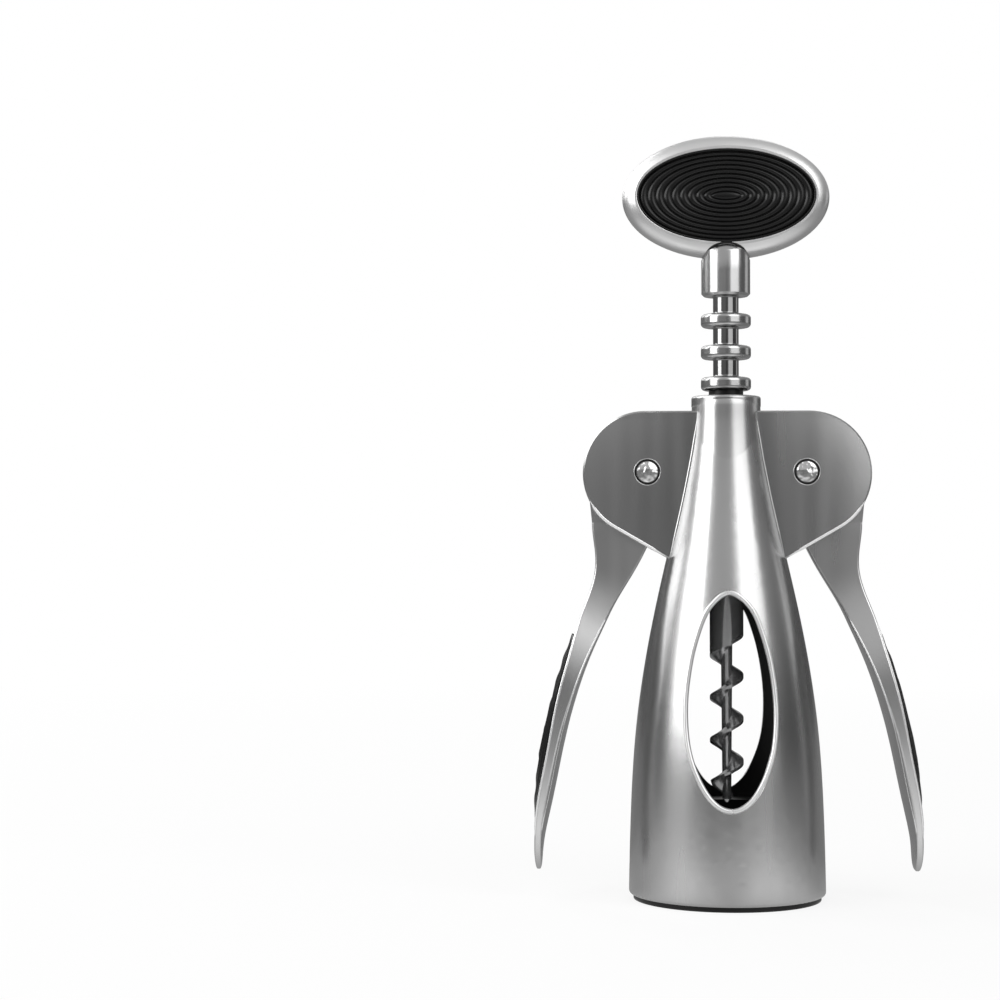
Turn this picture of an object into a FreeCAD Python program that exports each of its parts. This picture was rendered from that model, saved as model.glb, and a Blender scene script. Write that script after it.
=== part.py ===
import FreeCAD, Part
import math
import os

from FreeCAD import Vector

# Wing corkscrew, millimetres. +Z up, the tool stands on its base ring at z = 0,
# the screw's axis is the Z axis, and the levers spread along X.
# The model shows the tool at rest: levers down, screw raised.

# --- bell casting ---
BELL_BOTTOM = 1.2
BELL_FOOT_RADIUS = 24.4
BELL_FOOT_FILLET = 0.8
BELL_OUTLINE = [  # (z, outer radius) from the foot to the neck
    (3.0, 24.4),
    (22.0, 23.9),
    (44.0, 22.4),
    (60.0, 20.1),
    (76.0, 16.9),
    (90.0, 13.7),
    (106.0, 10.5),
    (122.2, 8.3),
]
BELL_WALL = 2.3
COLLAR_TOP = 125.0
COLLAR_RADIUS = 8.65
COLLAR_HEIGHT = 2.6
COLLAR_TOP_FILLET = 0.7
COLLAR_UNDER_FILLET = 0.2
RACK_BORE_RADIUS = 6.6
RACK_BORE_BOTTOM = 93.0
BUSH_SEAT_BOTTOM = 115.2
BUSH_SEAT_RADIUS = 7.3
COLLAR_LIP_RADIUS = 6.5
COLLAR_LIP_HEIGHT = 0.8

# --- window through the bell ---
WINDOW_OUTLINE = [  # (half width, z) from the top point down one side
    (4.6, 72.2),
    (7.3, 66.0),
    (9.2, 58.5),
    (10.3, 49.0),
    (9.8, 39.5),
    (7.6, 32.2),
    (4.1, 26.6),
]
WINDOW_TOP = 75.7
WINDOW_BOTTOM = 24.6
WINDOW_CHAMFER = 1.2

# --- ears that carry the levers ---
PIVOT_X = 19.75
PIVOT_Z = 106.0
EAR_CENTRE_X = 20.3
EAR_CENTRE_Z = 105.7
EAR_RADIUS = 15.5
EAR_HALF_THICKNESS = 4.5
EAR_LOWER_SLOPE = 30.0
EAR_CHAMFER = 0.4
EAR_SLOT_HALF = 2.5
EAR_SLOT_GAP = 0.4
EAR_SLOT_INNER_X = 13.6
EAR_SLOT_DROP = 14.0
EAR_SLOT_LEAN = 30.0
PIN_RECESS_RADIUS = 3.15
PIN_RECESS_DEPTH = 0.8

# --- pivot pins ---
PIN_RADIUS = 2.2
PIN_HOLE_CLEARANCE = 0.05
PIN_HEAD_RADIUS = 2.82
PIN_HEAD_RIM = 0.75
PIN_DOME = 0.65
PIN_SPIGOT_RADIUS = 1.3

# --- bottle guide ---
GUIDE_FLANGE_RADIUS = 23.3
GUIDE_SLEEVE_RADIUS = 21.75
GUIDE_TOP = 23.0
BELL_SOCKET_RADIUS = 21.8
BELL_SOCKET_TOP = 25.0
BOTTLE_BORE_RADIUS = 15.6
BOTTLE_SEAT_Z = 20.0
BOTTLE_SEAT_RADIUS = 13.0
GUIDE_LEAD_IN = 1.0
GUIDE_POCKET_INNER = 17.6
GUIDE_POCKET_OUTER = 20.0
GUIDE_POCKET_TOP = 18.0
GUIDE_RIB_COUNT = 8
GUIDE_RIB_THICKNESS = 1.6

# --- rack ---
RING_PITCH = 7.9
RING_COUNT = 7
TOP_RING_Z = 143.9
RING_RADIUS = 6.25
RING_HEIGHT = 3.3
RING_FILLET = 1.0
CORE_RADIUS = 3.2
CORE_FILLET = 0.5
HUB_RADIUS = 6.1
HUB_BOTTOM = 150.1
HUB_CHAMFER = 0.6
HUB_DOME_RADIUS = 6.9
HUB_DOME_TOP = 163.2
HUB_SLOT_HALF = 3.15
HUB_SLOT_FLOOR = 159.2
SOCKET_RADIUS = 6.0
SOCKET_BOTTOM = 81.0
SOCKET_FLOOR = 93.0

# --- guide bush in the collar ---
BUSH_OUTER_RADIUS = 7.22
BUSH_BORE_RADIUS = 6.33
BUSH_BOTTOM = 115.3
BUSH_TOP = 124.1

# --- worm ---
SHANK_RADIUS = 4.2
SHANK_FIT = 0.05
SHANK_LOW_END = 61.2
SHANK_HIGH_END = 65.8
WORM_RADIUS = 4.2
WORM_CORE_TOP_RADIUS = 1.45
WORM_CORE_TIP_RADIUS = 1.1
WORM_PITCH = 10.65
WORM_RIGHT_CREST_Z = 55.2
WORM_TIP_Z = 23.7
WORM_TAPER_START = 29.5
WORM_POINT = [(0, 0), (0.35, 0.1), (2.3, 2.2), (3.6, 4.0)]  # (radius, height above the tip)
WORM_TURNS_BELOW_CREST = 3
BLADE_ROOT_RADIUS = 0.66
BLADE_ROOT_HALF = 1.75
BLADE_EDGE_HALF = 0.2
BLADE_GRINDING = 0.4
WORM_PIN_Z = 87.0
WORM_PIN_RADIUS = 1.0
WORM_PIN_INSET = 0.1

# --- turning handle ---
HANDLE_CENTRE_Z = 174.9
HANDLE_HALF_WIDTH = 25.9
HANDLE_HALF_HEIGHT = 15.5
HANDLE_SECTIONS = [  # (distance from the mid plane, inset of the oval there)
    (4.6, 3.1),
    (3.7, 1.6),
    (2.0, 0.35),
    (0.0, 0.0),
    (-2.0, 0.35),
    (-3.7, 1.6),
    (-4.6, 3.1),
]
PAD_HALF_WIDTH = 22.0
PAD_HALF_HEIGHT = 11.4
PAD_SEAT_Y = 2.7
PAD_GAP = 0.1
PAD_BASE_Y = 3.8
PAD_RIDGE_TOP_Y = 4.4
PAD_RIDGE_COUNT = 9
PAD_RIDGE_SHARE = 0.5
PAD_RIM_STEPS = 0.25
PAD_MIDDLE_STEPS = 0.5
HANDLE_NOTCH_GAP = 0.2
HANDLE_TONGUE_GAP = 0.1
HANDLE_RIM_FILLET = 0.3
STUD_RADIUS = 1.5
STUD_BOTTOM = 152.0
STUD_TOP = 168.0

# --- levers ---
GEAR_PITCH_RADIUS = 14.4
GEAR_ROOT_RADIUS = 13.2
GEAR_TIP_RADIUS = 15.0
GEAR_TOOTH_COUNT = 6
GEAR_FIRST_GAP_Z = 100.45
TOOTH_FOOT_RADIUS = 12.4
TOOTH_FOOT_HALF = 2.55
TOOTH_ROOT_HALF = 2.3
TOOTH_TIP_HALF = 1.6
LEVER_HALF_THICKNESS = 2.35
LEVER_EYE_CLEARANCE = 0.06
NECK_OUTLINE = [  # (x, z) round the flat neck, from the outer side to the inner side
    (33.0, 106.0),
    (34.1, 99.0),
    (33.55, 93.5),
    (17.3, 91.7),
    (16.5, 93.1),
]
WING_SECTIONS = [  # (outer x, outer z, inner x, inner z, half width, crown of the inner face)
    (33.55, 93.5, 17.3, 91.7, 2.35, 0.05),
    (32.8, 86.0, 21.0, 84.8, 2.35, 0.05),
    (33.2, 79.5, 25.3, 77.4, 2.5, 0.1),
    (35.0, 74.0, 28.7, 71.4, 3.3, 0.2),
    (37.2, 67.6, 31.8, 64.8, 5.0, 0.35),
    (39.2, 60.5, 34.8, 57.8, 6.8, 0.6),
    (41.3, 53.0, 37.4, 50.2, 7.75, 1.0),
    (43.3, 44.0, 39.7, 41.8, 8.0, 1.4),
    (45.2, 33.7, 41.8, 32.0, 7.75, 1.6),
    (46.9, 25.0, 43.5, 23.8, 7.1, 1.5),
    (47.8, 16.5, 45.2, 16.0, 6.2, 0.8),
    (47.9, 12.0, 45.8, 11.8, 5.4, 0.35),
    (47.7, 9.2, 46.0, 9.2, 4.4, 0.2),
    (47.45, 7.7, 46.2, 7.7, 3.0, 0.1),
    (47.2, 7.1, 46.5, 7.1, 1.6, 0.05),
]
WING_EDGE_ROUND = 0.45
WING_PAD_FIRST = 4
WING_PAD_LAST = 10
WING_PAD_INSET = 0.7
WING_PAD_THICKNESS = 1.2
WING_PAD_CROWN = 0.35
WING_PAD_TOP_Z = 65.5
WING_PAD_END_Z = 18.0
WING_PAD_LEAST_HALF = 1.0
WING_PAD_SINK = 1.0

# --- working values ---
FRONT = -1
BACK = 1
TOUCH = 0.001
SAME_SIZE = 0.01
OVERCUT = 1.0
CUTTER_SIZE = 20.0


def xz(x, z):
    return Vector(x, 0, z)


def face_from_points(points):
    """Flat face in the XZ plane from (x, z) corners."""
    corners = [xz(x, z) for x, z in points]
    return Part.Face(Part.makePolygon(corners + [corners[0]]))


def extrude_across(face, half):
    """Solid from a face in the XZ plane, thickened by half to each side along Y."""
    moved = face.copy()
    moved.translate(Vector(0, -half, 0))
    return moved.extrude(Vector(0, 2 * half, 0))


def turned(points):
    """Solid of revolution about Z from (radius, z) corners."""
    return face_from_points(points).revolve(Vector(0, 0, 0), Vector(0, 0, 1), 360)


def cylinder_z(radius, bottom, top):
    return Part.makeCylinder(radius, top - bottom, Vector(0, 0, bottom))


def cylinder_y(radius, x, z, start, end):
    return Part.makeCylinder(radius, end - start, Vector(x, start, z), Vector(0, 1, 0))


def smooth_curve(points):
    curve = Part.BSplineCurve()
    curve.interpolate([xz(x, z) for x, z in points])
    return curve.toShape()


def line(start, end):
    return Part.makeLine(xz(*start), xz(*end))


def mirrored(shape):
    return shape.mirror(Vector(0, 0, 0), Vector(1, 0, 0))


def oval_wire(half_width, half_height, y):
    oval = Part.Ellipse(Vector(half_width, 0, 0), Vector(0, half_height, 0), Vector(0, 0, 0))
    wire = Part.Wire(oval.toShape())
    wire.rotate(Vector(0, 0, 0), Vector(1, 0, 0), 90)
    wire.translate(Vector(0, y, HANDLE_CENTRE_Z))
    return wire


# --- bell -------------------------------------------------------------------


def bell_blank():
    """Outer form of the bell with its collar, as one turned solid."""
    outline = [(radius, z) for z, radius in BELL_OUTLINE]
    foot = (BELL_FOOT_RADIUS, BELL_BOTTOM)
    neck = outline[-1]
    collar_bottom = (COLLAR_RADIUS, COLLAR_TOP - COLLAR_HEIGHT)
    edges = [
        line((0, BELL_BOTTOM), foot),
        line(foot, outline[0]),
        smooth_curve(outline),
        line(neck, collar_bottom),
        line(collar_bottom, (COLLAR_RADIUS, COLLAR_TOP)),
        line((COLLAR_RADIUS, COLLAR_TOP), (0, COLLAR_TOP)),
        line((0, COLLAR_TOP), (0, BELL_BOTTOM)),
    ]
    blank = Part.Face(Part.Wire(edges)).revolve(Vector(0, 0, 0), Vector(0, 0, 1), 360)
    blank = blank.makeFillet(COLLAR_TOP_FILLET, circles_at(blank, COLLAR_RADIUS, [COLLAR_TOP]))
    under = circles_at(blank, COLLAR_RADIUS, [COLLAR_TOP - COLLAR_HEIGHT])
    blank = blank.makeFillet(COLLAR_UNDER_FILLET, under)
    return blank.makeFillet(BELL_FOOT_FILLET, circles_at(blank, BELL_FOOT_RADIUS, [BELL_BOTTOM]))


def circles_at(shape, radius, heights):
    """Circular edges of a turned solid, picked by their radius and height."""
    found = []
    for edge in shape.Edges:
        if edge.Degenerated or not isinstance(edge.Curve, Part.Circle):
            continue
        if abs(edge.Curve.Radius - radius) > SAME_SIZE:
            continue
        if any(abs(edge.Curve.Center.z - height) < SAME_SIZE for height in heights):
            found.append(edge)
    return found


def edge_middle(edge):
    return edge.valueAt((edge.FirstParameter + edge.LastParameter) / 2)


def shared_edges(joined, first, second):
    """Edges of the joined shape that lie on the skins of both of its parts."""
    found = []
    for edge in joined.Edges:
        if edge.Degenerated:
            continue
        middle = Part.Vertex(edge_middle(edge))
        on_first = middle.distToShape(first.Shells[0])[0] < TOUCH
        if on_first and middle.distToShape(second.Shells[0])[0] < TOUCH:
            found.append(edge)
    return found


def bell_hollow():
    """Everything that is empty inside the bell and the collar."""
    inner = [(radius - BELL_WALL, z) for z, radius in BELL_OUTLINE[2:6]]
    socket_corner = (BELL_SOCKET_RADIUS, BELL_SOCKET_TOP)
    bottom = BELL_BOTTOM - OVERCUT
    top = COLLAR_TOP + OVERCUT
    lip_bottom = COLLAR_TOP - COLLAR_LIP_HEIGHT
    corners = [
        inner[-1],
        (RACK_BORE_RADIUS, RACK_BORE_BOTTOM),
        (RACK_BORE_RADIUS, BUSH_SEAT_BOTTOM),
        (BUSH_SEAT_RADIUS, BUSH_SEAT_BOTTOM),
        (BUSH_SEAT_RADIUS, lip_bottom),
        (COLLAR_LIP_RADIUS, lip_bottom),
        (COLLAR_LIP_RADIUS, top),
        (0, top),
        (0, bottom),
        (BELL_SOCKET_RADIUS, bottom),
        socket_corner,
    ]
    edges = [smooth_curve([socket_corner] + inner)]
    for start, end in zip(corners, corners[1:]):
        edges.append(line(start, end))
    return Part.Face(Part.Wire(edges)).revolve(Vector(0, 0, 0), Vector(0, 0, 1), 360)


def window_prism():
    """Pointed-oval prism along Y that opens the bell front and back."""
    right = list(WINDOW_OUTLINE)
    left = [(-x, z) for x, z in reversed(WINDOW_OUTLINE)]
    points = [(0, WINDOW_TOP)] + right + [(0, WINDOW_BOTTOM)] + left
    curve = Part.BSplineCurve()
    curve.interpolate([xz(x, z) for x, z in points], PeriodicFlag=True)
    return extrude_across(Part.Face(Part.Wire(curve.toShape())), BELL_FOOT_RADIUS + OVERCUT)


def ear_blank():
    """Right ear as one thick plate, before the slot for the lever is cut."""
    slope = math.radians(EAR_LOWER_SLOPE)
    low_x = EAR_CENTRE_X + EAR_RADIUS * math.sin(slope)
    low_z = EAR_CENTRE_Z - EAR_RADIUS * math.cos(slope)
    root_z = low_z - (low_x - SOCKET_RADIUS) * math.tan(slope)
    top = (EAR_CENTRE_X, EAR_CENTRE_Z + EAR_RADIUS)
    nose = xz(EAR_CENTRE_X + EAR_RADIUS, EAR_CENTRE_Z)
    edges = [
        line((SOCKET_RADIUS, top[1]), top),
        Part.Arc(xz(*top), nose, xz(low_x, low_z)).toShape(),
        line((low_x, low_z), (SOCKET_RADIUS, root_z)),
        line((SOCKET_RADIUS, root_z), (SOCKET_RADIUS, top[1])),
    ]
    plate = extrude_across(Part.Face(Part.Wire(edges)), EAR_HALF_THICKNESS)
    rim = [edge for edge in plate.Edges if is_rim_edge(edge)]
    return plate.makeChamfer(EAR_CHAMFER, rim)


def is_rim_edge(edge):
    """True for the long edges of the ear's outline, on its two faces."""
    box = edge.BoundBox
    return box.YLength < SAME_SIZE and box.XMax > SOCKET_RADIUS + SAME_SIZE


def ear_slot():
    """Space between the cheeks of the right ear for the lever and its gear."""
    wheel = cylinder_y(GEAR_TIP_RADIUS + EAR_SLOT_GAP, PIVOT_X, PIVOT_Z, -EAR_SLOT_HALF, EAR_SLOT_HALF)
    inner_x, inner_z = NECK_OUTLINE[-1]
    start_x = inner_x - EAR_SLOT_GAP
    lean = EAR_SLOT_DROP * math.tan(math.radians(EAR_SLOT_LEAN))
    far_x = EAR_CENTRE_X + EAR_RADIUS + OVERCUT
    opening = face_from_points([
        (start_x, inner_z),
        (start_x + lean, inner_z - EAR_SLOT_DROP),
        (far_x, inner_z - EAR_SLOT_DROP),
        (far_x, COLLAR_TOP),
        (EAR_SLOT_INNER_X, COLLAR_TOP),
        (EAR_SLOT_INNER_X, PIVOT_Z),
    ])
    return wheel.fuse(extrude_across(opening, EAR_SLOT_HALF))


def pivot_drilling():
    """Pin hole through the right ear with a recess for each head."""
    reach = EAR_HALF_THICKNESS + OVERCUT
    hole = cylinder_y(PIN_RADIUS + PIN_HOLE_CLEARANCE, PIVOT_X, PIVOT_Z, -reach, reach)
    floor = EAR_HALF_THICKNESS - PIN_RECESS_DEPTH
    front = cylinder_y(PIN_RECESS_RADIUS, PIVOT_X, PIVOT_Z, -reach, -floor)
    back = cylinder_y(PIN_RECESS_RADIUS, PIVOT_X, PIVOT_Z, floor, reach)
    return hole.fuse([front, back])


def bell_frame():
    """One casting: bell, collar and both ears, opened by the windows and made hollow."""
    blank = bell_blank()
    window = window_prism()
    ear = ear_blank()
    slot = ear_slot()
    drilling = pivot_drilling()
    opened = blank.fuse([ear, mirrored(ear)]).cut(window)
    casting = opened.makeChamfer(WINDOW_CHAMFER, shared_edges(opened, blank, window))
    casting = casting.cut(bell_hollow())
    return casting.cut([slot, mirrored(slot), drilling, mirrored(drilling)])


# --- bottle guide -----------------------------------------------------------


def bottle_guide():
    """Plastic sleeve that centres the bottle neck; its flange is the tool's foot."""
    body = turned([
        (BOTTLE_BORE_RADIUS + GUIDE_LEAD_IN, 0),
        (GUIDE_FLANGE_RADIUS, 0),
        (GUIDE_FLANGE_RADIUS, BELL_BOTTOM),
        (GUIDE_SLEEVE_RADIUS, BELL_BOTTOM),
        (GUIDE_SLEEVE_RADIUS, GUIDE_TOP),
        (BOTTLE_SEAT_RADIUS, GUIDE_TOP),
        (BOTTLE_SEAT_RADIUS, BOTTLE_SEAT_Z),
        (BOTTLE_BORE_RADIUS, BOTTLE_SEAT_Z),
        (BOTTLE_BORE_RADIUS, GUIDE_LEAD_IN),
    ])
    pocket = turned([
        (GUIDE_POCKET_INNER, -OVERCUT),
        (GUIDE_POCKET_OUTER, -OVERCUT),
        (GUIDE_POCKET_OUTER, GUIDE_POCKET_TOP),
        (GUIDE_POCKET_INNER, GUIDE_POCKET_TOP),
    ])
    ribs = []
    for index in range(GUIDE_RIB_COUNT // 2):
        rib = Part.makeBox(
            2 * (GUIDE_POCKET_OUTER + OVERCUT),
            GUIDE_RIB_THICKNESS,
            GUIDE_POCKET_TOP + 2 * OVERCUT,
            Vector(-GUIDE_POCKET_OUTER - OVERCUT, -GUIDE_RIB_THICKNESS / 2, -OVERCUT),
        )
        angle = (index + 0.5) * 360.0 / GUIDE_RIB_COUNT
        rib.rotate(Vector(0, 0, 0), Vector(0, 0, 1), angle)
        ribs.append(rib)
    return body.cut(pocket.cut(ribs))


# --- pivot pins -------------------------------------------------------------


def domed_head(side):
    """Rivet head on the given side of the right ear, with a low dome."""
    floor = EAR_HALF_THICKNESS - PIN_RECESS_DEPTH
    rim = floor + PIN_HEAD_RIM
    ball = (PIN_HEAD_RADIUS ** 2 + PIN_DOME ** 2) / (2 * PIN_DOME)
    disc = cylinder_y(PIN_HEAD_RADIUS, PIVOT_X, PIVOT_Z, floor, rim + PIN_DOME)
    dome = Part.makeSphere(ball, Vector(PIVOT_X, rim + PIN_DOME - ball, PIVOT_Z))
    head = disc.common(dome)
    if side == FRONT:
        head = head.mirror(Vector(0, 0, 0), Vector(0, 1, 0))
    return head


def pivot_pin():
    floor = EAR_HALF_THICKNESS - PIN_RECESS_DEPTH
    shaft = cylinder_y(PIN_RADIUS, PIVOT_X, PIVOT_Z, -floor, floor)
    spigot = cylinder_y(PIN_SPIGOT_RADIUS, PIVOT_X, PIVOT_Z, floor, floor + PIN_HEAD_RIM)
    return domed_head(FRONT).fuse([shaft, spigot])


def pivot_cap():
    floor = EAR_HALF_THICKNESS - PIN_RECESS_DEPTH
    hole = cylinder_y(PIN_SPIGOT_RADIUS, PIVOT_X, PIVOT_Z, floor, floor + PIN_HEAD_RIM)
    return domed_head(BACK).cut(hole)


# --- screw assembly ---------------------------------------------------------


def hub_envelope(gap):
    """Barrel with a domed top, grown by gap; the handle's notch has the same form."""
    radius = HUB_RADIUS + gap
    barrel = cylinder_z(radius, HUB_BOTTOM, HUB_DOME_TOP + gap)
    ball_centre = HUB_DOME_TOP - HUB_DOME_RADIUS
    ball = Part.makeSphere(HUB_DOME_RADIUS + gap, Vector(0, 0, ball_centre))
    lower = cylinder_z(radius, HUB_BOTTOM, ball_centre)
    return barrel.common(ball).fuse(lower).removeSplitter()


def rack_ring(centre_z):
    half = RING_HEIGHT / 2
    ring = cylinder_z(RING_RADIUS, centre_z - half, centre_z + half)
    return ring.makeFillet(RING_FILLET, circles_at(ring, RING_RADIUS, [centre_z - half, centre_z + half]))


def rack_shaft():
    """Round rack: hub, core, seven rings that the gears mesh with, and the worm's socket."""
    hub = hub_envelope(0)
    hub = hub.makeChamfer(HUB_CHAMFER, circles_at(hub, HUB_RADIUS, [HUB_BOTTOM]))
    slot = Part.makeBox(
        2 * HUB_DOME_RADIUS,
        2 * HUB_SLOT_HALF,
        HUB_DOME_RADIUS,
        Vector(-HUB_DOME_RADIUS, -HUB_SLOT_HALF, HUB_SLOT_FLOOR),
    )
    hub = hub.cut(slot)
    core = cylinder_z(CORE_RADIUS, SOCKET_FLOOR, HUB_BOTTOM)
    last_ring_z = TOP_RING_Z - (RING_COUNT - 1) * RING_PITCH
    socket = cylinder_z(SOCKET_RADIUS, SOCKET_BOTTOM, last_ring_z)
    socket = socket.makeChamfer(HUB_CHAMFER, circles_at(socket, SOCKET_RADIUS, [SOCKET_BOTTOM]))
    rings = [rack_ring(TOP_RING_Z - index * RING_PITCH) for index in range(RING_COUNT)]
    shaft = core.fuse([hub, socket] + rings).removeSplitter()
    inner_corners = core_corners(shaft)
    shaft = shaft.makeFillet(CORE_FILLET, inner_corners)
    bore = cylinder_z(SHANK_RADIUS + SHANK_FIT, SOCKET_BOTTOM - OVERCUT, SOCKET_FLOOR)
    stud_hole = cylinder_z(STUD_RADIUS, STUD_BOTTOM, HUB_DOME_TOP)
    return shaft.cut([bore, stud_hole, worm_pin()])


def core_corners(shaft):
    """Inner corners where the core meets the rings and the hub."""
    heights = [HUB_BOTTOM]
    for index in range(RING_COUNT):
        centre = TOP_RING_Z - index * RING_PITCH
        heights += [centre - RING_HEIGHT / 2, centre + RING_HEIGHT / 2]
    return circles_at(shaft, CORE_RADIUS, heights[:-2] + heights[-1:])


def guide_bush():
    bush = cylinder_z(BUSH_OUTER_RADIUS, BUSH_BOTTOM, BUSH_TOP)
    return bush.cut(cylinder_z(BUSH_BORE_RADIUS, BUSH_BOTTOM - OVERCUT, BUSH_TOP + OVERCUT))


def worm_pin():
    half = math.sqrt(SOCKET_RADIUS ** 2 - WORM_PIN_RADIUS ** 2) - WORM_PIN_INSET
    return cylinder_y(WORM_PIN_RADIUS, 0, WORM_PIN_Z, -half, half)


def worm_envelope():
    """Turned outline that the worm is ground to, with its tapered point."""
    point = [(radius, WORM_TIP_Z + height) for radius, height in WORM_POINT]
    return turned(point + [(WORM_RADIUS, WORM_TAPER_START), (WORM_RADIUS, SOCKET_FLOOR), (0, SOCKET_FLOOR)])


def worm_blade():
    """Right-handed sharp-edged blade wound round the core."""
    bottom = WORM_RIGHT_CREST_Z - WORM_TURNS_BELOW_CREST * WORM_PITCH
    helix = Part.makeHelix(WORM_PITCH, SHANK_HIGH_END - bottom, WORM_RADIUS)
    edge_radius = WORM_RADIUS + BLADE_GRINDING
    profile = Part.makePolygon([
        xz(BLADE_ROOT_RADIUS, -BLADE_ROOT_HALF),
        xz(edge_radius, -BLADE_EDGE_HALF),
        xz(edge_radius, BLADE_EDGE_HALF),
        xz(BLADE_ROOT_RADIUS, BLADE_ROOT_HALF),
        xz(BLADE_ROOT_RADIUS, -BLADE_ROOT_HALF),
    ])
    blade = Part.Wire(helix).makePipeShell([profile], True, True)
    blade.translate(Vector(0, 0, bottom))
    return blade


def worm():
    """Auger with its plain shank; the shank's end is cut on a slant where the flute starts."""
    mid = (SHANK_LOW_END + SHANK_HIGH_END) / 2
    shank = cylinder_z(SHANK_RADIUS, SHANK_LOW_END - OVERCUT, SOCKET_FLOOR)
    corner = Vector(-CUTTER_SIZE / 2, -CUTTER_SIZE / 2, -CUTTER_SIZE)
    cutter = Part.makeBox(CUTTER_SIZE, CUTTER_SIZE, CUTTER_SIZE, corner)
    lean = math.degrees(math.atan2(SHANK_HIGH_END - SHANK_LOW_END, 2 * SHANK_RADIUS))
    cutter.rotate(Vector(0, 0, 0), Vector(0, 1, 0), -lean)
    cutter.translate(Vector(0, 0, mid))
    core = Part.makeCone(
        WORM_CORE_TIP_RADIUS,
        WORM_CORE_TOP_RADIUS,
        mid + OVERCUT - WORM_TIP_Z,
        Vector(0, 0, WORM_TIP_Z),
    )
    auger = core.fuse(worm_blade()).common(worm_envelope())
    return auger.fuse(shank.cut(cutter)).cut(worm_pin())


# --- turning handle ---------------------------------------------------------


def handle_ring():
    """Oval die-cast handle with a seat for a rubber pad in each face."""
    wires = []
    for y, inset in HANDLE_SECTIONS:
        wires.append(oval_wire(HANDLE_HALF_WIDTH - inset, HANDLE_HALF_HEIGHT - inset, y))
    body = Part.makeLoft(wires, True, False)
    seat = Part.Face(oval_wire(PAD_HALF_WIDTH + PAD_GAP, PAD_HALF_HEIGHT + PAD_GAP, PAD_SEAT_Y))
    back_seat = seat.extrude(Vector(0, PAD_SEAT_Y, 0))
    front_seat = back_seat.mirror(Vector(0, 0, 0), Vector(0, 1, 0))
    tongue_half = HUB_SLOT_HALF - HANDLE_TONGUE_GAP
    corner = Vector(-CUTTER_SIZE / 2, -tongue_half, HUB_BOTTOM - OVERCUT)
    tongue = Part.makeBox(CUTTER_SIZE, 2 * tongue_half, CUTTER_SIZE, corner)
    notch = hub_envelope(HANDLE_NOTCH_GAP).cut(tongue)
    stud_hole = cylinder_z(STUD_RADIUS, HUB_BOTTOM, STUD_TOP)
    for recess in (back_seat, front_seat):
        seated = body.cut(recess)
        body = seated.makeFillet(HANDLE_RIM_FILLET, shared_edges(seated, body, recess))
    return body.cut([notch, stud_hole])


def grip_pad(side):
    """Rubber pad with raised oval ridges, one inside the other."""
    base = Part.Face(oval_wire(PAD_HALF_WIDTH, PAD_HALF_HEIGHT, PAD_SEAT_Y))
    pad = base.extrude(Vector(0, PAD_BASE_Y - PAD_SEAT_Y, 0))
    step_wide = PAD_HALF_WIDTH / (PAD_RIDGE_COUNT + PAD_MIDDLE_STEPS)
    step_high = PAD_HALF_HEIGHT / (PAD_RIDGE_COUNT + PAD_MIDDLE_STEPS)
    ridges = []
    for index in range(PAD_RIDGE_COUNT):
        wide = PAD_HALF_WIDTH - (index + PAD_RIM_STEPS) * step_wide
        high = PAD_HALF_HEIGHT - (index + PAD_RIM_STEPS) * step_high
        inner_wide = wide - step_wide * PAD_RIDGE_SHARE
        inner_high = high - step_high * PAD_RIDGE_SHARE
        outer = Part.Face(oval_wire(wide, high, PAD_BASE_Y))
        ring = outer.cut(Part.Face(oval_wire(inner_wide, inner_high, PAD_BASE_Y)))
        ridges.append(ring.extrude(Vector(0, PAD_RIDGE_TOP_Y - PAD_BASE_Y, 0)))
    pad = pad.fuse(ridges)
    if side == FRONT:
        pad = pad.mirror(Vector(0, 0, 0), Vector(0, 1, 0))
    return pad


def handle_stud():
    return cylinder_z(STUD_RADIUS, STUD_BOTTOM, STUD_TOP)


# --- levers -----------------------------------------------------------------


def gear_tooth(angle):
    """One tooth of the right lever's gear; angle 0 points at the screw, positive is up."""
    out = Vector(-math.cos(angle), 0, math.sin(angle))
    along = Vector(math.sin(angle), 0, math.cos(angle))
    steps = [
        (TOOTH_FOOT_RADIUS, -TOOTH_FOOT_HALF),
        (GEAR_ROOT_RADIUS, -TOOTH_ROOT_HALF),
        (GEAR_TIP_RADIUS, -TOOTH_TIP_HALF),
        (GEAR_TIP_RADIUS, TOOTH_TIP_HALF),
        (GEAR_ROOT_RADIUS, TOOTH_ROOT_HALF),
        (TOOTH_FOOT_RADIUS, TOOTH_FOOT_HALF),
    ]
    centre = xz(PIVOT_X, PIVOT_Z)
    corners = [centre + out * reach + along * offset for reach, offset in steps]
    face = Part.Face(Part.makePolygon(corners + [corners[0]]))
    return extrude_across(face, LEVER_HALF_THICKNESS)


def gear_sector():
    wheel = cylinder_y(GEAR_ROOT_RADIUS, PIVOT_X, PIVOT_Z, -LEVER_HALF_THICKNESS, LEVER_HALF_THICKNESS)
    teeth = []
    for index in range(GEAR_TOOTH_COUNT):
        gap_z = GEAR_FIRST_GAP_Z + index * RING_PITCH
        teeth.append(gear_tooth((gap_z - PIVOT_Z) / GEAR_PITCH_RADIUS))
    return wheel.fuse(teeth)


def section_frame(section):
    """Outer point, inward direction and depth of one cross-section of the wing."""
    outer = xz(section[0], section[1])
    inner = xz(section[2], section[3])
    inward = inner - outer
    depth = inward.Length
    inward.normalize()
    return outer, inward, depth


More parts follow.
